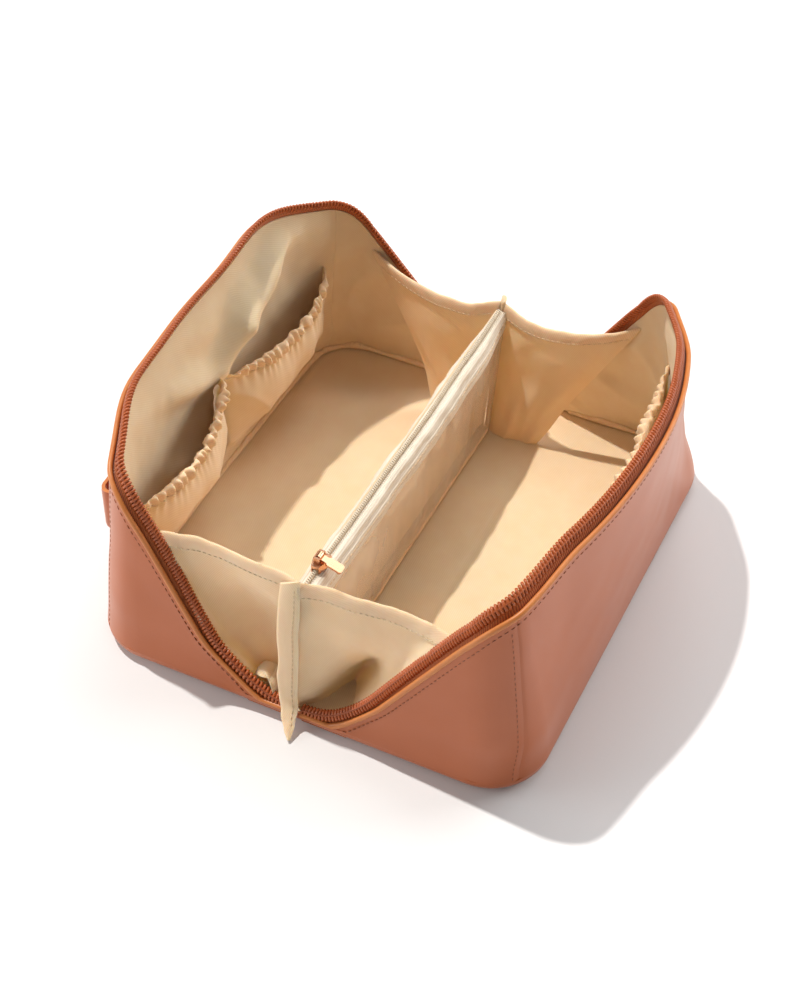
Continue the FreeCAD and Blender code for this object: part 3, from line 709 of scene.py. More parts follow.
# The real rib is about 0.5 mm; it is drawn at 0.9 mm.
rib = add(tree, "ShaderNodeTexWave", {"Vector": place.outputs["UV"]}, Scale=0.444 / (0.9 * MM),
          Distortion=0.8, bands_direction="DIAGONAL")
slub = add(tree, "ShaderNodeTexNoise", {"Vector": place.outputs["UV"]}, Scale=1 / (11.1 * MM),
           Detail=4.0)
mottle = add(tree, "ShaderNodeMix", {"Factor": slub.outputs["Fac"]}, data_type="RGBA",
             A=linear("#EACAA3"), B=linear("#F1D8B7"))
tone = add(tree, "ShaderNodeMix", {"A": mottle.outputs["Result"], "Factor": rib.outputs["Fac"]},
           data_type="RGBA", blend_type="MULTIPLY", B=linear("#F6F1EA"))
tree.links.new(tone.outputs["Result"], shader.inputs["Base Color"])
rise = add(tree, "ShaderNodeBump", {"Height": rib.outputs["Fac"]}, Strength=0.25, Distance=0.12 * MM)
tree.links.new(rise.outputs["Normal"], shader.inputs["Normal"])

lining_in = stiffener_in + stiffener_th + 0.2
lining_th = 0.8
lining_lift = 1.2
lining_tuck = 1.2
wall_run = 205.0


def uneven(*place):
    """Smooth noise between about -1 and 1, at a place of three numbers."""
    return noise.noise(Vector(place))


def slack(s, z, v):
    """How far the loose lining stands in from the wall: folds that die out at its sewn edges."""
    along = at_mark(rim_run, s)
    broad = 0.5 + 0.5 * uneven(along / 52 + z / 90, z / 38, 3.1)
    crease = 1 - abs(uneven(along / 42 + z / 46, z / 70 - along / 133, 7.7)) * 2.4
    fine = noise.noise(wall_spot(s, z, 0) / 9)
    held = min(1.0, 6 * v) * min(1.0, 6 * (1 - v))
    return (3.6 * broad + 2.2 * max(0.0, crease) ** 2 + 0.5 * fine) * held


def soft_fold(spot, low, high, tall, half):
    """A soft fold between two places on the wall, given along it and up it."""
    way = Vector(high) - Vector(low)
    t = min(1.0, max(0.0, (spot - Vector(low)).dot(way) / way.length_squared))
    off = (spot - Vector(low) - way * t).length
    return tall * math.sin(math.pi * (0.2 + 0.7 * t)) * bump(off, half)


def pull_folds(s, z, v):
    """Folds that fan out on the left from where the two pockets meet, on top of the loose lining."""
    spot = Vector(((s - 2.5) * wall_run, z))
    fan = soft_fold(spot, (4, 80), (36, 105), 12.0, 7.0) + soft_fold(spot, (28, 92), (78, 111), 13.0, 8.0)
    fan += soft_fold(spot, (-3, 78), (-46, 98), 8.0, 8.0)
    return slack(s, z, v) + fan * min(1.0, 6 * v) * min(1.0, 9 * (1 - v))


def end_slack(s, z, v):
    """The end lining's folds. Its edge is tucked behind the wall lining's."""
    return slack(s, z, v) - lining_tuck * ramp(s, seam_s + 0.03, seam_s + 0.12)


lining_wall_columns = steps(seam_s, 2, 18) + steps(2, 3, 110)[1:] + steps(3, 5 - seam_s, 18)[1:]
lining_end_columns = steps(0.14, 1, 54) + steps(1.05, seam_s + 0.12, 16)
wall_slack = {"left": pull_folds, "right": slack}
for side in sides:

    def wall_shift(s, z, v):
        """The wall lining's folds, drawn tight at the corner seams."""
        return wall_slack[side](s, z, v) - lining_tuck * (1 - ramp(min(s, 5 - s), seam_s, seam_s + 0.09))

    faces = both_faces(side, lining_wall_columns, -lining_lift, lining_in, lining_th, 56, wall_shift)
    lining = sewn_sheet(f"{side}_wall_twill", *faces, twill)
    fit(lining, f"{side}_wall_lining", side)
    for end in ends:
        faces = both_faces(side, lining_end_columns, -lining_lift, lining_in, lining_th, 30, end_slack, end)
        lining = sewn_sheet(f"{end}_{side}_end_twill", *faces, twill)
        fit(lining, f"{end}_{side}_end_lining", side)


# The floor lining is a piece of the same twill laid on the board.
# Its edge is sewn in at the foot of the walls and stands up there as a soft fold.
floor_low, floor_high = (Vector(v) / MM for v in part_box("floor_lining"))


def floor_ring(share, z_at):
    """A ring of the floor, shrunk towards the middle."""
    ring = closed_plan(half_wid - floor_high.x, 0)
    return [Vector((p.x * share, p.y * share, z_at(p * share))) for p in ring]


def floor_top(p):
    """The floor's soft unevenness."""
    return floor_high.z + 0.45 * uneven(p.x / 30, p.y / 30, 0.4)


def lay_flat(piece, places):
    """Puts each point of a piece at its place on the flat cut, in metres."""
    for loop in piece.data.loops:
        piece.data.uv_layers[0].data[loop.index].uv = places[loop.vertex_index]


shares = [1.0, 0.985, 0.96, 0.93] + steps(0.88, 0.04, 20) + [0.004]
top_rings = [floor_ring(share, floor_top) for share in shares]
low_rings = [floor_ring(share, lambda p: floor_low.z) for share in shares]
floor = sewn_sheet("floor_twill", top_rings, low_rings, twill, ring=True)
lay_flat(floor, [v.co.xy for v in floor.data.vertices])
fit(floor, "floor_lining")

fold_rows = []
for angle in round_about(12):
    row = []
    for s in steps(0.42, 4.58, 220):
        pucker = uneven(s * 9, 0.7, 0) + 0.5 * uneven(s * 26, 2.2, 0)
        bunch = uneven(s * 3.1, 5.2, 0)
        fat, tall = 1.7 + 0.6 * pucker + 0.8 * bunch, max(0.7, 2.1 + 1.1 * pucker + 2.2 * bunch)
        inset = lining_in + lining_th + 1.1 + 1.2 * bunch - fat * math.cos(angle)
        row.append(wall_spot(s, floor_high.z + 0.2 + tall + tall * math.sin(angle), inset))
    fold_rows.append(row)
for side in sides:
    fold = swept(f"{side}_floor_fold", on_side(side, fold_rows), twill, crease=80)
    fit(fold, side=side)


# The divider is a flat pouch along the middle: a twill panel on the left and clear film on the right.
# Both are bound at the floor, sewn together at the ends and closed with a zip along the top.
# Clear film: soft vinyl, see-through and glossy, with a patchy haze. Where it is seen edge on it turns milky
# white: a painted reflection.
film, tree, shader = new_material("clear vinyl film", Base_Color=linear("#F4EEE4"), IOR=1.53,
                                  Coat_Weight=1.0)
edge_on_reflection = add(tree, "ShaderNodeLayerWeight", Blend=0.35)
place = add(tree, "ShaderNodeTexCoord")
haze = add(tree, "ShaderNodeTexNoise", {"Vector": place.outputs["Object"]}, Scale=1 / (33.3 * MM),
           Detail=3.0)
# Painted reflection: the film's white colour covers more of it the more edge on it is seen, in patches of
# haze.
haze_and_painted_reflection = add(tree, "ShaderNodeMath", {0: edge_on_reflection.outputs["Facing"], 1: haze.outputs["Fac"]},
           operation="MULTIPLY")
cover = add(tree, "ShaderNodeMapRange", {"Value": haze_and_painted_reflection.outputs["Value"]}, To_Min=0.2, To_Max=0.9)
tree.links.new(cover.outputs["Result"], shader.inputs["Alpha"])
gloss = add(tree, "ShaderNodeMapRange", {"Value": haze.outputs["Fac"]}, To_Min=0.04, To_Max=0.14)
tree.links.new(gloss.outputs["Result"], shader.inputs["Roughness"])

divider_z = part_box("divider_fabric_panel")[1][2] / MM
panel_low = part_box("divider_fabric_panel")[0][2] / MM
front_top, rear_top = half_len - 11, half_len - 18.5
front_foot, rear_foot = half_len - 6.5, half_len - 36
panel_x = 2.2
panel_gap = 0.15


def divider_rows(sign, inset, bulge, wave):
    """A grid of one divider panel. It swells between its sewn edges."""
    rows = []
    for v in steps(0, 1, 30):
        z = panel_low + (divider_z - panel_low) * v
        front = -(front_foot + (front_top - front_foot) * v)
        rear = rear_foot + (rear_top - rear_foot) * v
        row = []
        for u in steps(0, 1, 90):
            y = front + (rear - front) * u
            held = (min(1.0, 8 * u) * min(1.0, 8 * (1 - u)) * min(1.0, 5 * v) * min(1.0, 4 * (1 - v))) ** 0.7
            swell = bulge * math.sin(math.pi * v) * math.sin(math.pi * u) ** 0.5
            ripple = wave * (uneven(y / 26, z / 60, sign) + 0.4 * uneven(y / 11, z / 34, 5))
            row.append(Vector((sign * (panel_x + inset + held * (swell + ripple)), y, z)))
        rows.append(row)
    return rows


for name, node, slot, cloth, sign, thick, bulge, wave in (
    ("divider_twill", "divider_fabric_panel", "twill", twill, -1, 0.8, 2.2, 1.0),
    ("divider_film", "divider_clear_panel", "clear_film", film, 1, 0.45, 3.0, 2.2),
):
    panel = sewn_sheet(name, *(divider_rows(sign, inset, bulge, wave) for inset in (thick, panel_gap)), cloth)
    fit(panel, node)

binding_low, binding_high = (Vector(v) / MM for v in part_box("divider_base_binding"))
binding_half_wid, binding_half_ht = 3.4, 2.4
binding_rows = []
for angle in round_about(12):
    row = []
    for y in steps(binding_low.y, binding_high.y, 60):
        soft = 1 + 0.12 * uneven(y / 6, angle, 0)
        z = binding_low.z + binding_half_ht + binding_half_ht * soft * math.sin(angle)
        row.append(Vector((binding_half_wid * soft * math.cos(angle), y, z)))
    binding_rows.append(row)
fit(swept("divider_binding", binding_rows, twill, crease=80), "divider_base_binding")


# The ends of the divider are closed with a flat felled seam whose edge is folded out as a flap.
# The front one hangs over the edge of the base, and both are stitched through with cream thread.
# Cream thread: pale and dull, with painted shade that makes it slightly darker in the grooves of its twist.
cream_thread, tree, shader = new_material("cream sewing thread", Roughness=0.7)
place = add(tree, "ShaderNodeTexCoord")
twist_light_and_shade = add(tree, "ShaderNodeTexWave", {"Vector": place.outputs["Object"]}, Scale=0.444 / (0.8 * MM),
            bands_direction="DIAGONAL")
# Painted shade of the twist: the bands mix a darker and a lighter cream.
tone = add(tree, "ShaderNodeMix", {"Factor": twist_light_and_shade.outputs["Fac"]}, data_type="RGBA",
           A=linear("#D6B98F"), B=linear("#E6CFAE"))
tree.links.new(tone.outputs["Result"], shader.inputs["Base Color"])

flap_low = tray_ht + 1.2
rear_outer = Vector((116.5, 86)), Vector((102.5, flap_low))
rear_inner = Vector((111, 85)), Vector((95, flap_low))


def on_rear_flap(share, reach):
    """A place down the rear flap and out from its sewn inner edge to its outer one, as y and z."""
    inner, outer = (top.lerp(foot, share) for top, foot in (rear_inner, rear_outer))
    return inner.lerp(outer, reach)


rear_rows = []
for angle in round_about(16):
    reach = 0.5 + 0.5 * math.cos(angle)
    rolled = 1.0 + 0.5 * max(0.0, math.cos(angle)) ** 2
    row = []
    for share in steps(0, 1, 80):
        spot = on_rear_flap(share, reach)
        wavy = 0.8 * uneven(share * 7, 1, 1.7) + 0.4 * uneven(share * 19, 4, 1)
        thick = 1.5 * rolled * math.sin(angle) * (1 + 0.15 * uneven(share * 23, angle, 2))
        bend = 1.3 * uneven(share * 4.1, 0.3, 1) * reach
        bend -= 2.0 * reach ** 1.5 * (0.55 + 0.45 * math.sin(math.pi * share))
        row.append(Vector((thick + bend, spot.x + wavy * reach ** 2, spot.y)))
    rear_rows.append(row)
rear_flap = swept("rear_flap", rear_rows, twill, crease=80)
fit(rear_flap, "divider_rear_seam")
for way, face in ((-1, "left"), (1, "right")):
    spots = [on_rear_flap(share, 0.3) for share in steps(0.03, 0.93, 60)]
    line = [Vector((way * 1.75, spot.x, spot.y)) for spot in spots]
    outs = [Vector((way, 0, 0))] * len(line)
    row = stitch_row(f"rear_flap_stitches_{face}", line, outs, cream_thread, pitch=3.0, length=2.0)
    fit(row)

# Places down the middle of the front flap, each with its half width there.
flap_knots = [(-4.2, -120.6, 88.4, 5.7), (-4.3, -124.4, 68, 5.8), (-4.3, -126.8, 48, 5.7),
              (-4.1, -128.6, 27, 5.4), (-3.5, -130.4, 13.5, 5.0), (-1.9, -134.5, 6.8, 4.0),
              (0.8, -139, 3.4, 2.4), (2.2, -142.4, 1.7, 0.7)]


def eased(knots, share):
    """A place along a smooth line through knots, and the half width there."""
    at = share * (len(knots) - 1)
    i = min(int(at), len(knots) - 2)
    t = at - i
    before, a, b, after = (Vector(knots[min(max(k, 0), len(knots) - 1)]) for k in (i - 1, i, i + 1, i + 2))
    bend = (2 * before - 5 * a + 4 * b - after) * t * t + (3 * a - before - 3 * b + after) * t ** 3
    spot = a + 0.5 * ((b - before) * t + bend)
    return Vector(spot[:3]), spot[3]


flap_rows = [[] for _ in range(20)]
flap_line, flap_outs = [], []
for share in steps(0, 1, 110):
    spot, half = eased(flap_knots, share)
    spot.x -= 0.5 * uneven(share * 9, 1.7, 0.4)
    half *= 1 + 0.08 * uneven(share * 13, 3.1, 8.2)
    full = min(1.0, half / 4)
    above, below = (eased(flap_knots, near)[0] for near in (max(0.0, share - 0.01), min(1.0, share + 0.01)))
    out = (below - above).normalized().cross(Vector((1, 0, 0))).normalized()
    for row, angle in zip(flap_rows, round_about(len(flap_rows))):
        reach = math.cos(angle)
        free = max(0.0, -reach)
        rolled = 0.75 * (1 - 0.65 * max(0.0, reach)) + 0.75 * max(0.0, -reach - 0.35) * full
        crimp = 1 + 0.18 * uneven(share * 21, angle, 2)
        wavy = 0.55 * uneven(share * 13, 4, 1.7) * free * full
        lift = 0.7 * uneven(share * 6, reach, 0.4) * free
        cut = 3.0 * reach * (1 - ramp(share, 0, 0.12))
        proud = rolled * crimp * math.sin(angle) + lift
        row.append(spot + Vector((reach * half + wavy, 0, cut)) + out * proud)
    if 0.02 < share < 0.8:
        flap_line.append(spot + Vector((half * 0.46, 0, 0)) + out * 0.72)
        flap_outs.append(out)
front_flap = swept("front_flap", flap_rows, twill, crease=80)
fit(front_flap, "divider_front_seam")
row = stitch_row("front_flap_stitches", flap_line, flap_outs, cream_thread, pitch=3.0, length=2.0, thick=0.5)
fit(row)


# The divider's zip is cream: a woven tape on each side, stitched to its panel, and a coil between them.
# The tapes turn down over the top of the panels and are stitched along there.
# Cream tape: a pale, matt weave with ribs along it.
cream_tape, tree, shader = new_material("cream woven tape", Roughness=0.8, Sheen_Weight=0.2)
place = add(tree, "ShaderNodeTexCoord")
# The real rib is about 0.5 mm; it is drawn at 1.3 mm.
rib = add(tree, "ShaderNodeTexWave", {"Vector": place.outputs["UV"]}, Scale=0.314 / (1.3 * MM),
          bands_direction="Y")
tone = add(tree, "ShaderNodeMix", {"Factor": rib.outputs["Fac"]}, data_type="RGBA",
           A=linear("#E3D6BF"), B=linear("#F0E7D8"))
tree.links.new(tone.outputs["Result"], shader.inputs["Base Color"])
rise = add(tree, "ShaderNodeBump", {"Height": rib.outputs["Fac"]}, Strength=0.5, Distance=0.2 * MM)
tree.links.new(rise.outputs["Normal"], shader.inputs["Normal"])

# Cream nylon: the coil's smooth pale thread, dyed a little unevenly.
cream_coil, tree, shader = new_material("cream nylon coil", Roughness=0.4, IOR=1.53)
place = add(tree, "ShaderNodeTexCoord")
dye = add(tree, "ShaderNodeTexNoise", {"Vector": place.outputs["Object"]}, Scale=1 / (4.55 * MM))
tone = add(tree, "ShaderNodeMix", {"Factor": dye.outputs["Fac"]}, data_type="RGBA",
           A=linear("#DCCDB3"), B=linear("#EADFCC"))
tree.links.new(tone.outputs["Result"], shader.inputs["Base Color"])

tape_high = Vector(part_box("divider_right_tape")[1]) / MM
coil_low, coil_high = (Vector(v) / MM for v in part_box("divider_zip_coil"))
divider_tape_th = 0.7
cream_rad = 0.4


def zip_bend(y):
    """How far the zip strays from a straight line: the pouch is soft between its ends."""
    free = ramp(y, -102, -60) * (1 - ramp(y, 75, 110))
    return Vector((1.5 * free * uneven(y / 55, 0.5, 4.2), 0, -1.2 * free))


# Places across the tape, from the coil down over the panel: how far out, how far down and how steep it lies.
tape_profile = (
    (0.6, 0.1, 0), (1.6, -0.2, 0.05), (2.5, 0.4, 0.1), (3.4, 0.0, 0.25), (4.5, 0.6, 0.5), (5.2, 1.7, 0.7),
    (5.3, 3.0, 0.9), (6.3, 3.7, 1), (6.9, 5.2, 1), (6.7, 7.0, 1), (6.0, 8.0, 1), (6.8, 9.2, 1), (6.6, 11, 1),
)
stitched = 8
for side, sign in (("left", -1), ("right", 1)):
    face, back = [], []
    for x, drop, lie in tape_profile:
        row = []
        for y in steps(-front_top + 0.5, tape_high.y, 110):
            soft = lie * (0.7 * uneven(y / 16, sign, 0.3) + 0.4 * uneven(y / 7, drop / 6, 2))
            narrow = 1 - 0.5 * ramp(y, tape_high.y - 40, tape_high.y)
            row.append(Vector((sign * (x * narrow + soft), y, tape_high.z - drop + 0.5 * soft)) + zip_bend(y))
        face.append(row)
        under = Vector((sign * divider_tape_th * lie, 0, divider_tape_th * (1 - lie)))
        back.append([spot - under for spot in row])
    tape = sewn_sheet(f"divider_{side}_zip_tape", face, back, cream_tape)
    fit(tape, f"divider_{side}_tape")
    line = [p + Vector((0.1 * sign, 0, 0)) for p in face[stitched]]
    outs = [Vector((sign, 0, 0))] * len(line)
    row = stitch_row(f"divider_{side}_tape_stitches", line, outs, cream_thread, pitch=3.0, length=2.1,
                     thick=0.5)
    fit(row)
coil_z = (coil_low.z + coil_high.z) / 2
coil_points = [Vector((0, y, coil_z)) + zip_bend(y) for y in steps(-front_top + 2, coil_high.y, 200)]
coil_turns = wound(coil_points, [Vector((0, 0, 1))] * len(coil_points), pitch=1.4, wide=0.85, deep=0.75)
fit(tube("divider_zip_teeth", coil_turns, cream_rad, cream_coil), "divider_zip_coil")


# The sliders and their pulls are cast zinc, plated rose gold.
# The divider's slider waits at the front end, and the main one at the foot of the zip at the rear.
# Rose gold plate: warm metal, polished, with fine rubbing marks.
rose_gold, tree, shader = new_material("rose gold plate", Metallic=1.0)
place = add(tree, "ShaderNodeTexCoord")
wear = add(tree, "ShaderNodeTexNoise", {"Vector": place.outputs["Object"]}, Scale=1 / (1.11 * MM),
           Detail=4.0)
gloss = add(tree, "ShaderNodeMapRange", {"Value": wear.outputs["Fac"]}, To_Min=0.16, To_Max=0.34)
tree.links.new(gloss.outputs["Result"], shader.inputs["Roughness"])
tone = add(tree, "ShaderNodeMix", {"Factor": wear.outputs["Fac"]}, data_type="RGBA",
           A=linear("#DDA07C"), B=linear("#EDBB98"))
tree.links.new(tone.outputs["Result"], shader.inputs["Base Color"])
for name in ("divider_slider", "divider_pull", "main_zip_slider", "main_zip_pull"):
    dress(name, rose_gold)


# Four gussets close the corners between the divider's ends and the sloping zip.
# Each is a triangle of twill, sewn up the divider and to the end lining, with a folded hem along its top.
gusset_z = 83.0
gusset_rim_z = 88.0
gusset_th = 0.8
lap_drop, lap_gap = 4.0, 0.3
lining_face = lining_in + lining_th
# The dip pressed into each side's front gusset: its middle over and up, its half width and height, its depth.
dips = {"left": (0.34, 0.42, 0.3, 0.42, 13), "right": (0.55, 0.14, 0.2, 0.32, 23)}


def slope_x(z, drop):
    """Where the sloping rim, lowered by a drop, stands at a height."""
    return rim_gap + (z - tray_ht) / math.tan(slope) + drop / math.sin(slope)


def end_y(z, inset):
    """How far along Y the end panel stands at a height."""
    return half_len - 10 * (z - tray_ht) / lean_ht - inset


def flap_y(z):
    """How far forward the front flap stands at a height."""
    for (_, y, high, _), (_, low_y, low, _) in zip(flap_knots, flap_knots[1:]):
        if z >= low:
            return -(y + (low_y - y) * (high - z) / (high - low))


def gusset_spot(up, over, foot_in, dip, shift):
    """A point of the right gusset, turned to the rear: up its height and over from the divider to the zip.
    The front one, known by its foot far out, is sewn to the front flap and has the dip."""
    in_front = foot_in < 10
    low_y = min(half_len - foot_in, end_y(tray_ht, lining_face + lap_gap))
    top_y = end_y(gusset_rim_z, lining_face + lap_gap)
    lap_low = Vector((slope_x(tray_ht, lap_drop), low_y, tray_ht))
    lap_top = Vector((slope_x(gusset_rim_z, lap_drop), top_y, gusset_rim_z))
    if in_front:
        z = tray_ht + (gusset_rim_z - tray_ht) * up
        seam = Vector((-0.4, min(flap_y(z) - 0.2, 126.5 + 0.25 * (z - tray_ht)), z))
        hollow, sag = 8.0, 1.0
    else:
        seam = Vector((1.6, half_len - foot_in, tray_ht)).lerp(Vector((-0.6, rear_top, gusset_z)), up)
        hollow, sag = 4.0, 6.0
    belly = 4 * over * (1 - over)
    loose = belly ** 0.7 * (1 - up ** 6)
    fold = 2.0 * uneven(over * 2.6 + up, up * 2.2 - over, foot_in) + 1.0 * uneven(over * 6.5, up * 5, foot_in)
    spot = seam.lerp(lap_low.lerp(lap_top, up), over)
    spot.y -= (9 * up + hollow * max(0.0, 1 - up) ** 1.3) * belly + fold * loose + shift
    spot.z -= sag * belly * up ** 3
    spot.z += 1.1 * up ** 6 * belly ** 0.5 * uneven(over * 9, foot_in, dip[0] * 20)
    if in_front:
        lump = max(0.0, 0.8 + 0.9 * uneven(up * 6.5, over * 2.5, 2.6))
        puff = 8.5 * bump(over - 0.87, 0.085) * lump * max(0.0, 1 - up ** 4)
        mid_over, mid_up, wide, tall, deep = dip
        pit = deep * (1 - up ** 6) * bump(over - mid_over, wide) * bump(up - mid_up, tall)
        spot += Vector((0, 0.4 * puff - pit, 0.85 * puff))
    return spot


def follow_wall(piece, shares):
    """Lets a gusset's points follow the wall more, the nearer to the zip and the higher up they are."""
    values = piece.data.attributes["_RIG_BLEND"].data
    for i, (up, over) in enumerate(shares):
        values[i].value = ramp(tray_ht + (gusset_rim_z - tray_ht) * up, tray_ht, fold_ht) * over


hem_share = 0.09
hem_section = [(1 - hem_share, 1.0), (1 - hem_share * 0.5, 1.25), (0.99, 1.2), (1.012, 0.8), (1.02, 0.0)]
hem_section += [(up, -shift) for up, shift in hem_section[-2::-1]]
for side in sides:
    for end, foot_in in (("front", 3.0), ("rear", 36.0)):
        name = f"{end}_{side}_gusset"
        flip = -1 if end == "front" else 1

        def on_gusset(up, over, shift):
            """A point of this gusset, moved off the middle of its thickness by a shift."""
            p = gusset_spot(up, over, foot_in, dips[side], shift)
            return sided(side, Vector((p.x, flip * p.y, p.z)))

        ups, overs = steps(0, 1, 40), steps(0, 1, 44)
        grids = []
        for shift in (-gusset_th / 2, gusset_th / 2):
            grids.append([[on_gusset(up, over, shift) for over in overs] for up in ups])
        gusset = sewn_sheet(f"{name}_twill", *grids, twill)
        weave = []
        for grid in grids:
            risen = [0.0] * len(overs)
            for r, row in enumerate(grid):
                run = 0.0
                for c, p in enumerate(row):
                    run += (p - row[max(c - 1, 0)]).length * MM
                    risen[c] += (p - grid[max(r - 1, 0)][c]).length * MM
                    weave.append((run, risen[c]))
        lay_flat(gusset, weave)
        fit(gusset, name, side)
        under = [f"{end}_{side}_end_twill", f"{end}_flap"]
        follow_wall(gusset, [(up, over) for up in ups for over in overs] * 2)

        overs = steps(0.005, 0.995, 70)
        rows = []
        for up, shift in hem_section:
            crimps = [1 + 0.25 * uneven(over * 17, up * 9, foot_in) for over in overs]
            rows.append([on_gusset(up, over, shift * crimp) for over, crimp in zip(overs, crimps)])
        hem = swept(f"{name}_hem", rows, twill, crease=80)
        fit(hem, side=side)
        follow_wall(hem, [(up, over) for up, _ in hem_section for over in overs])
        for way, face in ((-1, "out"), (1, "in")):
            line = [on_gusset(1 - hem_share * 0.82, over, way * 1.25) for over in steps(0.02, 0.98, 70)]
            outs = [Vector((0, -way * flip, 0))] * len(line)
            row = stitch_row(f"{name}_stitches_{face}", line, outs, cream_thread, pitch=2.8, length=1.9,
                             thick=0.5)
            fit(row, side=side)
            low_x, high_x = abs(line[0].x), abs(line[-1].x)
            across_it = [(abs(v.co.x) / MM - low_x) / (high_x - low_x) for v in row.data.vertices]
            follow_wall(row, [(1 - hem_share, over) for over in across_it])


# Beside the front flap, on the left, the loose lining bunches up in a tuck of the same twill.
# It is caught in the seams at the foot of the gusset and stands up behind the zip as a soft hump.
# Places along the tuck, each with its half width there.
tuck_knots = [(-27, -122, 8, 3.4), (-24, -120.5, 15, 4.4), (-19.5, -120.5, 19.5, 5.0), (-15, -122, 18, 4.6),
              (-12.5, -124.5, 10, 3.6)]
tuck_rows = []
for angle in round_about(28):
    out, aside = math.cos(angle), math.sin(angle)
    row = []
    for share in steps(0, 1, 70):
        spot, fat = eased(tuck_knots, share)
        wide = fat * (1 + 0.3 * uneven(share * 5, 1.3 * out, 1.3 * aside))
        way = Vector((out * math.sin(math.pi * share), aside, out * math.cos(math.pi * share)))
        row.append(spot + wide * way)
    tuck_rows.append(row)
tuck = swept("front_left_lining_tuck", tuck_rows, twill, crease=80)
fit(tuck)


# The pockets are cups of twill sewn to the wall linings, two on the left and one long one on the right.
# Elastic in each hem gathers the cloth into pleats and a puckered roll.
pocket_foot = 18.0
pocket_sag = 5.0
pocket_th = 0.9


def pocket_depth(t, v, depth):
    """How far a pocket stands off the lining, along its mouth and up its height."""
    across_it = max(0.0, 1 - (2 * t - 1) ** 2) ** 0.62
    return across_it * (depth * (1 - (1 - v) ** 2.1) + 3.0 * math.sin(math.pi * v))


for name, side, start, stop, top_z, depth, pleats, long in (
    ("left_front_pocket", "left", 2.0, 2.487, 74.0, 22.0, 19, 0.112),
    ("left_rear_pocket", "left", 2.513, 3.0, 74.0, 22.0, 19, 0.112),
    ("right_pocket", "right", 2.0, 3.0, 78.0, 14.0, 36, 0.222),
):
    ts = steps(0, 1, pleats * 9)

    def beat(t):
        """How many pleats there are up to a place along the mouth. They are not quite even."""
        return t * pleats + 1.2 * uneven(t * 6, 0.2, start)

    def off_lining(t, z, off):
        """A point along the pocket at a height, standing off the lining's face."""
        s = start + (stop - start) * t
        v = (z - tray_ht) / (rim_z(s, lining_lift) - tray_ht)
        return sided(side, wall_spot(s, z, lining_face + wall_slack[side](s, z, v) + off))

    grids = []
    for back in (0.0, pocket_th):
        rows = []
        for v in steps(0, 1, 34):
            row = []
            for t in ts:
                z = pocket_foot + (top_z - pocket_foot) * v - pocket_sag * (4 * t * (1 - t)) * v ** 2
                own = 0.5 + 1.1 * uneven(t * pleats * 0.37, 5.5, start)
                near = 1.3 * v ** 18 + 0.55 * max(0.0, own) * v ** 9
                pleat = near * math.cos(math.tau * beat(t)) + 3.0 * v * uneven(t * 6 + v, v * 1.6, stop)
                held = min(1.0, 12 * t) * min(1.0, 12 * (1 - t))
                off = pocket_depth(t, v, depth) + pleat * held - back * min(1.0, 30 * t, 30 * (1 - t))
                row.append(off_lining(t, z, max(0.1, off)))
            rows.append(row)
        grids.append(rows)
    pocket = sewn_sheet(f"{name}_twill", *grids, twill, crease=80)
    fit(pocket, name, side)

    rows = []
    for angle in round_about(14):
        row = []
        for t in ts:
            puff = 0.5 + 0.5 * math.cos(math.tau * beat(t))
            size = 0.62 + 0.4 * puff ** 0.7 + 0.5 * uneven(t * pleats * 0.8, 3.3, stop)
            ridge = math.cos(math.tau * beat(t) * 3 + 2 * math.sin(angle))
            tall = 3.4 * size + 0.6 * math.cos(2 * angle) * puff
            fat = 2.3 * size + 0.28 * ridge
            lean = 1.5 * (puff - 0.5) + 1.5 * uneven(t * pleats * 1.1, angle * 0.6, 1.1)
            z = top_z - pocket_sag * (4 * t * (1 - t)) + 2.6 + tall * math.sin(angle)
            z += 0.9 * uneven(t * pleats * 0.9, 8.8, 0)
            held = 0.35 + 0.65 * min(1.0, 10 * t, 10 * (1 - t))
            off = pocket_depth(t, 1.0, depth) - 0.5 + (lean + fat * math.cos(angle)) * held
            row.append(off_lining(t, z, max(-0.3, off)))
        rows.append(row)
    hem = swept(f"{name}_gathered_hem", rows, twill, crease=80)
    fit(hem, f"{name}_hem", side)


# The carry strap is one long strip of leather, folded into a flat loop and sewn to the left wall.
# Its cut sides are painted orange like the rim, and a row of stitches runs along each edge.
strap_low, strap_high = (Vector(v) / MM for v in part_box("carry_strap"))
strap_th = 2.2
strap_wid = strap_high.z - strap_low.z
strap_gap = 5.8
strap_past = 3.0
strap_mid_z = (strap_low.z + strap_high.z) / 2
strap_off = 0.3 + strap_th / 2
loop_rad = (strap_gap + strap_th) / 2
half_run = strap_high.y + strap_past - loop_rad - strap_th / 2
corner_start_y = 80.0


def strap_centre(q):
    """The middle of the strap's thickness as it runs round its loop: its y, how far it stands off the wall,
    and the way out of the loop. The second half of the loop is the first one turned about."""
    straight = 2 * half_run
    curve = math.pi * loop_rad
    way = q * (2 * straight + 2 * curve)
    turned_about = way >= straight + curve
    if turned_about:
        way -= straight + curve
    y, out = way - half_run, Vector((1, 0))
    if way >= straight:
        angle = (way - straight) / loop_rad
        y, out = half_run + loop_rad * math.sin(angle), Vector((math.cos(angle), math.sin(angle)))
    if turned_about:
        y, out = -y, -out
    return y, strap_off + loop_rad + loop_rad * out.x, out


def wall_out(y, z):
    """How far out the right wall's outer face stands, taken straight on past the start of each corner."""
    y = max(-corner_start_y, min(corner_start_y, y))
    low, high = 1.0, 4.0
    for _ in range(30):
        s = (low + high) / 2
        if wall_spot(s, z, 0).y < y:
            low = s
        else:
            high = s
    return wall_spot(s, z, 0).x


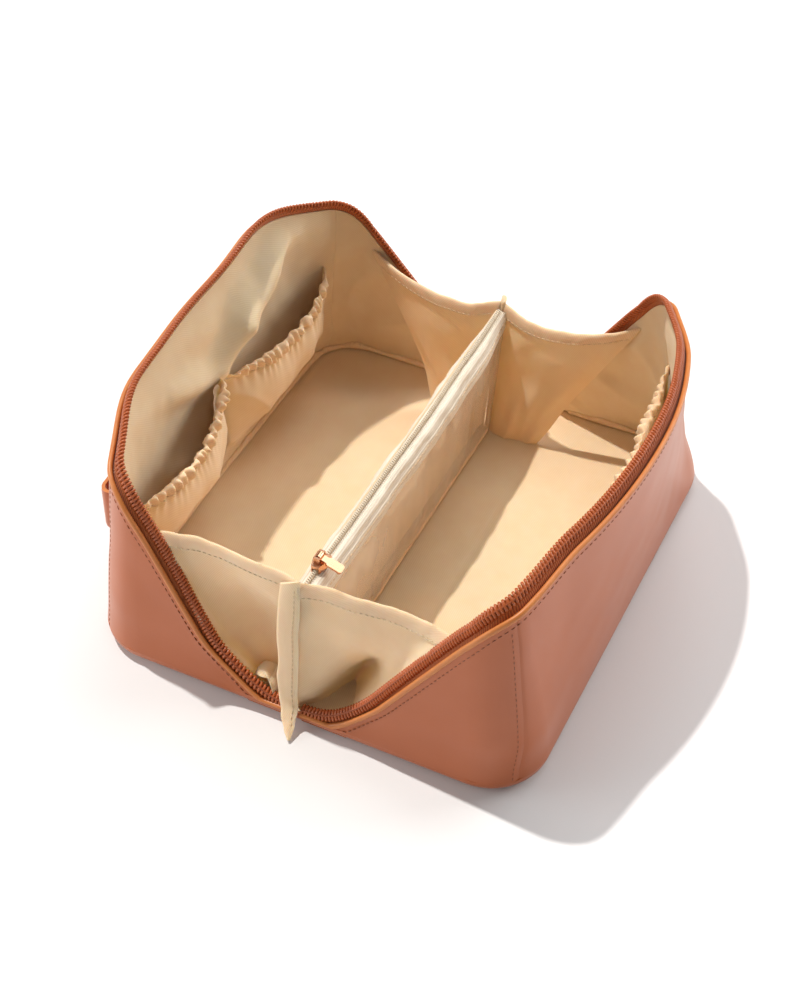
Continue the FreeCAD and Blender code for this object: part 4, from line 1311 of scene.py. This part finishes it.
strap_section = [(1, 0.86), (0.8, 1), (-0.8, 1), (-1, 0.86), (-1, 0.4), (-1, -0.4), (-1, -0.86), (-0.8, -1),
                 (0.8, -1), (1, -0.86), (1, -0.4), (1, 0.4)]
rows = []
for thick, high in strap_section:
    row = []
    for q in steps(0, 1, 260)[:-1]:
        y, off, out = strap_centre(q)
        aside = out * thick * strap_th / 2
        z = strap_mid_z + high * strap_wid / 2
        row.append(sided("left", Vector((wall_out(y + aside.y, z) + off + aside.x, y + aside.y, z))))
    rows.append(row + row[:1])
strap = swept("strap_loop", rows, leather, crease=60)
strap.data.materials.append(edge_leather)
for polygon in strap.data.polygons:
    if abs(polygon.normal.z) > 0.6:
        polygon.material_index = 1
fit(strap, "carry_strap", "left")
for way, edge in ((-1, "low"), (1, "high")):
    z = strap_mid_z + way * (strap_wid / 2 - 3)
    line = []
    for y in steps(-half_run + 2, half_run - 2, 80):
        x = wall_out(y, z) + strap_off + 2 * loop_rad + strap_th / 2
        line.append(sided("left", Vector((x, y, z))))
    row = stitch_row(f"strap_stitches_{edge}", line, [Vector((-1, 0, 0.05))] * len(line), brown_thread)
    fit(row, side="left")


# The stage is a white floor under an even, bright sky, with a sun lamp high on the left and a little behind.
# Three soft lamps lighten the shadows, and the camera looks down on the front right corner.
scene = bpy.context.scene
scene.view_settings.view_transform = "Standard"
# Floor paint: matt white, with a faint glow for the camera.
floor_paint, tree, shader = new_material("white floor", Roughness=0.9, Emission_Color=(1, 1, 1, 1))
cloud = add(tree, "ShaderNodeTexNoise", Scale=3.0)
tone = add(tree, "ShaderNodeMix", {"Factor": cloud.outputs["Fac"]}, data_type="RGBA",
           A=linear("#E6E6E6"), B=linear("#E9E9E9"))
tree.links.new(tone.outputs["Result"], shader.inputs["Base Color"])
ray = add(tree, "ShaderNodeLightPath")
glow = add(tree, "ShaderNodeMath", {0: ray.outputs["Is Camera Ray"]}, operation="MULTIPLY")
glow.inputs[1].default_value = 0.03
tree.links.new(glow.outputs["Value"], shader.inputs["Emission Strength"])
ground_mesh = bpy.data.meshes.new("floor")
ground_mesh.from_pydata([(-6, -6, 0), (6, -6, 0), (6, 6, 0), (-6, 6, 0)], [], [(0, 1, 2, 3)])
ground_mesh.materials.append(floor_paint)
ground = bpy.data.objects.new("floor", ground_mesh)
scene.collection.objects.link(ground)

world = bpy.data.worlds.new("studio")
world.use_nodes = True
scene.world = world
tree = world.node_tree
sky = tree.nodes["Background"]
sky.inputs["Color"].default_value = (1.0, 0.99, 0.98, 1)
ray = add(tree, "ShaderNodeLightPath")
level = add(tree, "ShaderNodeMapRange", {"Value": ray.outputs["Is Camera Ray"]}, To_Min=0.25, To_Max=1.0)
tree.links.new(level.outputs["Result"], sky.inputs["Strength"])

sun_way = Vector((-51.5, 15, 120))
lamp = bpy.data.lights.new("key lamp", "SUN")
lamp.energy = 2.6
lamp.angle = math.radians(1.6)
lamp.color = (1.0, 0.97, 0.93)
key = bpy.data.objects.new("key lamp", lamp)
key.rotation_euler = sun_way.to_track_quat("Z", "Y").to_euler()
scene.collection.objects.link(key)

for name, place, size, power in (
    ("rear softbox", (0.0, 0.75, 1.5), 0.9, 9.0),
    ("right fill", (1.2, 1.3, 0.8), 0.9, 17.0),
    ("left fill", (-0.6, -0.45, 0.25), 0.4, 1.8),
):
    lamp = bpy.data.lights.new(name, "AREA")
    lamp.energy = power
    lamp.size = size
    box = bpy.data.objects.new(name, lamp)
    box.location = place
    box.rotation_euler = Vector(place).to_track_quat("Z", "Y").to_euler()
    scene.collection.objects.link(box)

azimuth = math.radians(25.82)
elevation = math.radians(44.74)
distance = 952.46
focal_px = 1800.0
picture_px = (800, 1000)
middle_px = (412.56, 547.31)
view_back = Vector((math.sin(azimuth) * math.cos(elevation), -math.cos(azimuth) * math.cos(elevation),
                    math.sin(elevation)))
view_right = Vector((math.cos(azimuth), math.sin(azimuth), 0))
view_up = view_back.cross(view_right)
stand = view_back * distance
stand -= view_right * (middle_px[0] - picture_px[0] / 2) / focal_px * distance
stand += view_up * (middle_px[1] - picture_px[1] / 2) / focal_px * distance
lens = bpy.data.cameras.new("camera")
lens.sensor_width = 36
lens.lens = lens.sensor_width * focal_px / picture_px[1]
camera = bpy.data.objects.new("camera", lens)
turned = Matrix((view_right, view_up, view_back)).transposed().to_4x4()
camera.matrix_world = Matrix.Translation(stand * MM) @ turned
scene.collection.objects.link(camera)
scene.camera = camera
